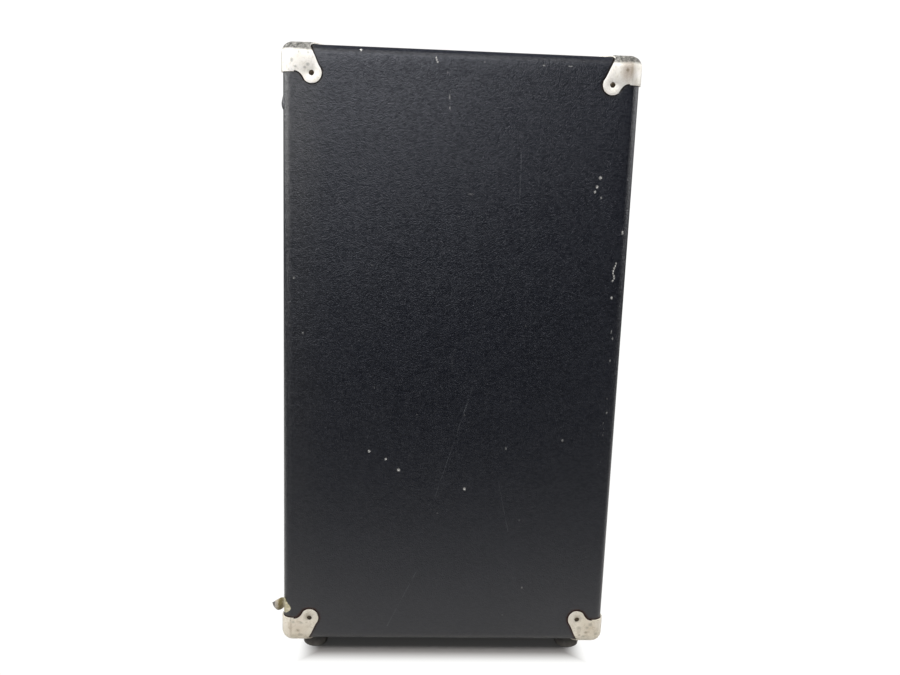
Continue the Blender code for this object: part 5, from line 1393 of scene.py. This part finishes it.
world = bpy.data.worlds.new("studio")
scene.world = world
world.use_nodes = True
n = Nodes(world.node_tree)
world.node_tree.nodes.clear()
out = n.add("ShaderNodeOutputWorld")
path_info = n.add("ShaderNodeLightPath")
bright, dim = n.add("ShaderNodeBackground"), n.add("ShaderNodeBackground")
bright.inputs["Color"].default_value, bright.inputs["Strength"].default_value = (1.0, 1.0, 0.99, 1), 1.05
sky = n.add("ShaderNodeSeparateXYZ")
n.put(sky.inputs[0], n.add("ShaderNodeTexCoord").outputs["Generated"])
fill = n.ramp(n.range(sky.outputs[2], 0.0, 1.0), [(0.0, (0.10, 0.105, 0.12)), (0.07, (0.34, 0.35, 0.36)), (0.3, (0.20, 0.20, 0.21)), (1.0, (0.18, 0.18, 0.19))])
n.put(dim.inputs["Color"], n.mix(n.range(sky.outputs[0], 0.0, 0.35, kind="SMOOTHSTEP"), fill, n.mix(0.9, fill, (0.0, 0.0, 0.0))))
dim.inputs["Strength"].default_value = 1.0
mixer = n.add("ShaderNodeMixShader")
n.put(mixer.inputs[0], path_info.outputs["Is Camera Ray"])
n.put(mixer.inputs[1], dim.outputs[0])
n.put(mixer.inputs[2], bright.outputs[0])
n.put(out.inputs["Surface"], mixer.outputs[0])


def soft_light(name, at, aim, size, radiance, color=(1, 1, 1)):
    """A square lamp of a given brightness, turned to a point."""
    la = bpy.data.lights.new(name, "AREA")
    la.shape, la.size, la.size_y = "RECTANGLE", size[0], size[1]
    la.energy = radiance * math.pi * size[0] * size[1]
    la.color = color
    ob = bpy.data.objects.new(name, la)
    scene.collection.objects.link(ob)
    ob.location = at
    ob.rotation_euler = (Vector(aim) - Vector(at)).to_track_quat("-Z", "Y").to_euler()
    return ob


overhead = soft_light("overhead", (-0.3, 0.0, 3.0), (-0.3, 0.0, 0), (3.2, 3.2), 4.0)
overhead.visible_glossy = False
key = soft_light("key", (1.78, -0.26, 2.60), (0.305, 0, 0.1), (0.9, 0.9), 36.0)
key.visible_glossy = False
window = soft_light("window", (2.95, -1.00, 1.92), (0.305, 0, 0.56), (3.1, 1.75), 2.68, (0.94, 0.96, 1.03))
window.visible_diffuse = False
ceiling = soft_light("ceiling", (1.75, -0.20, 3.15), (0.305, 0, 0.56), (2.6, 1.9), 1.2, (1.0, 0.99, 0.97))
ceiling.visible_diffuse = False
side_window = soft_light("side_window", (0.78, -2.60, 1.22), (0.305, 0, 0.56), (3.3, 0.66), 5.6)
side_window.visible_diffuse = False
far_window = soft_light("far_window", (0.45, 2.70, 1.10), (0.305, 0, 0.56), (3.3, 0.66), 2.6)
far_window.visible_diffuse = False
front_fill = soft_light("front_fill", (0.78, -2.60, 2.05), (0.305, 0, 0.56), (3.3, 1.75), 3.5)
front_fill.visible_glossy = False
back_fill = soft_light("back_fill", (0.45, 2.70, 1.95), (0.305, 0, 0.56), (3.3, 1.75), 2.6)
back_fill.visible_glossy = False
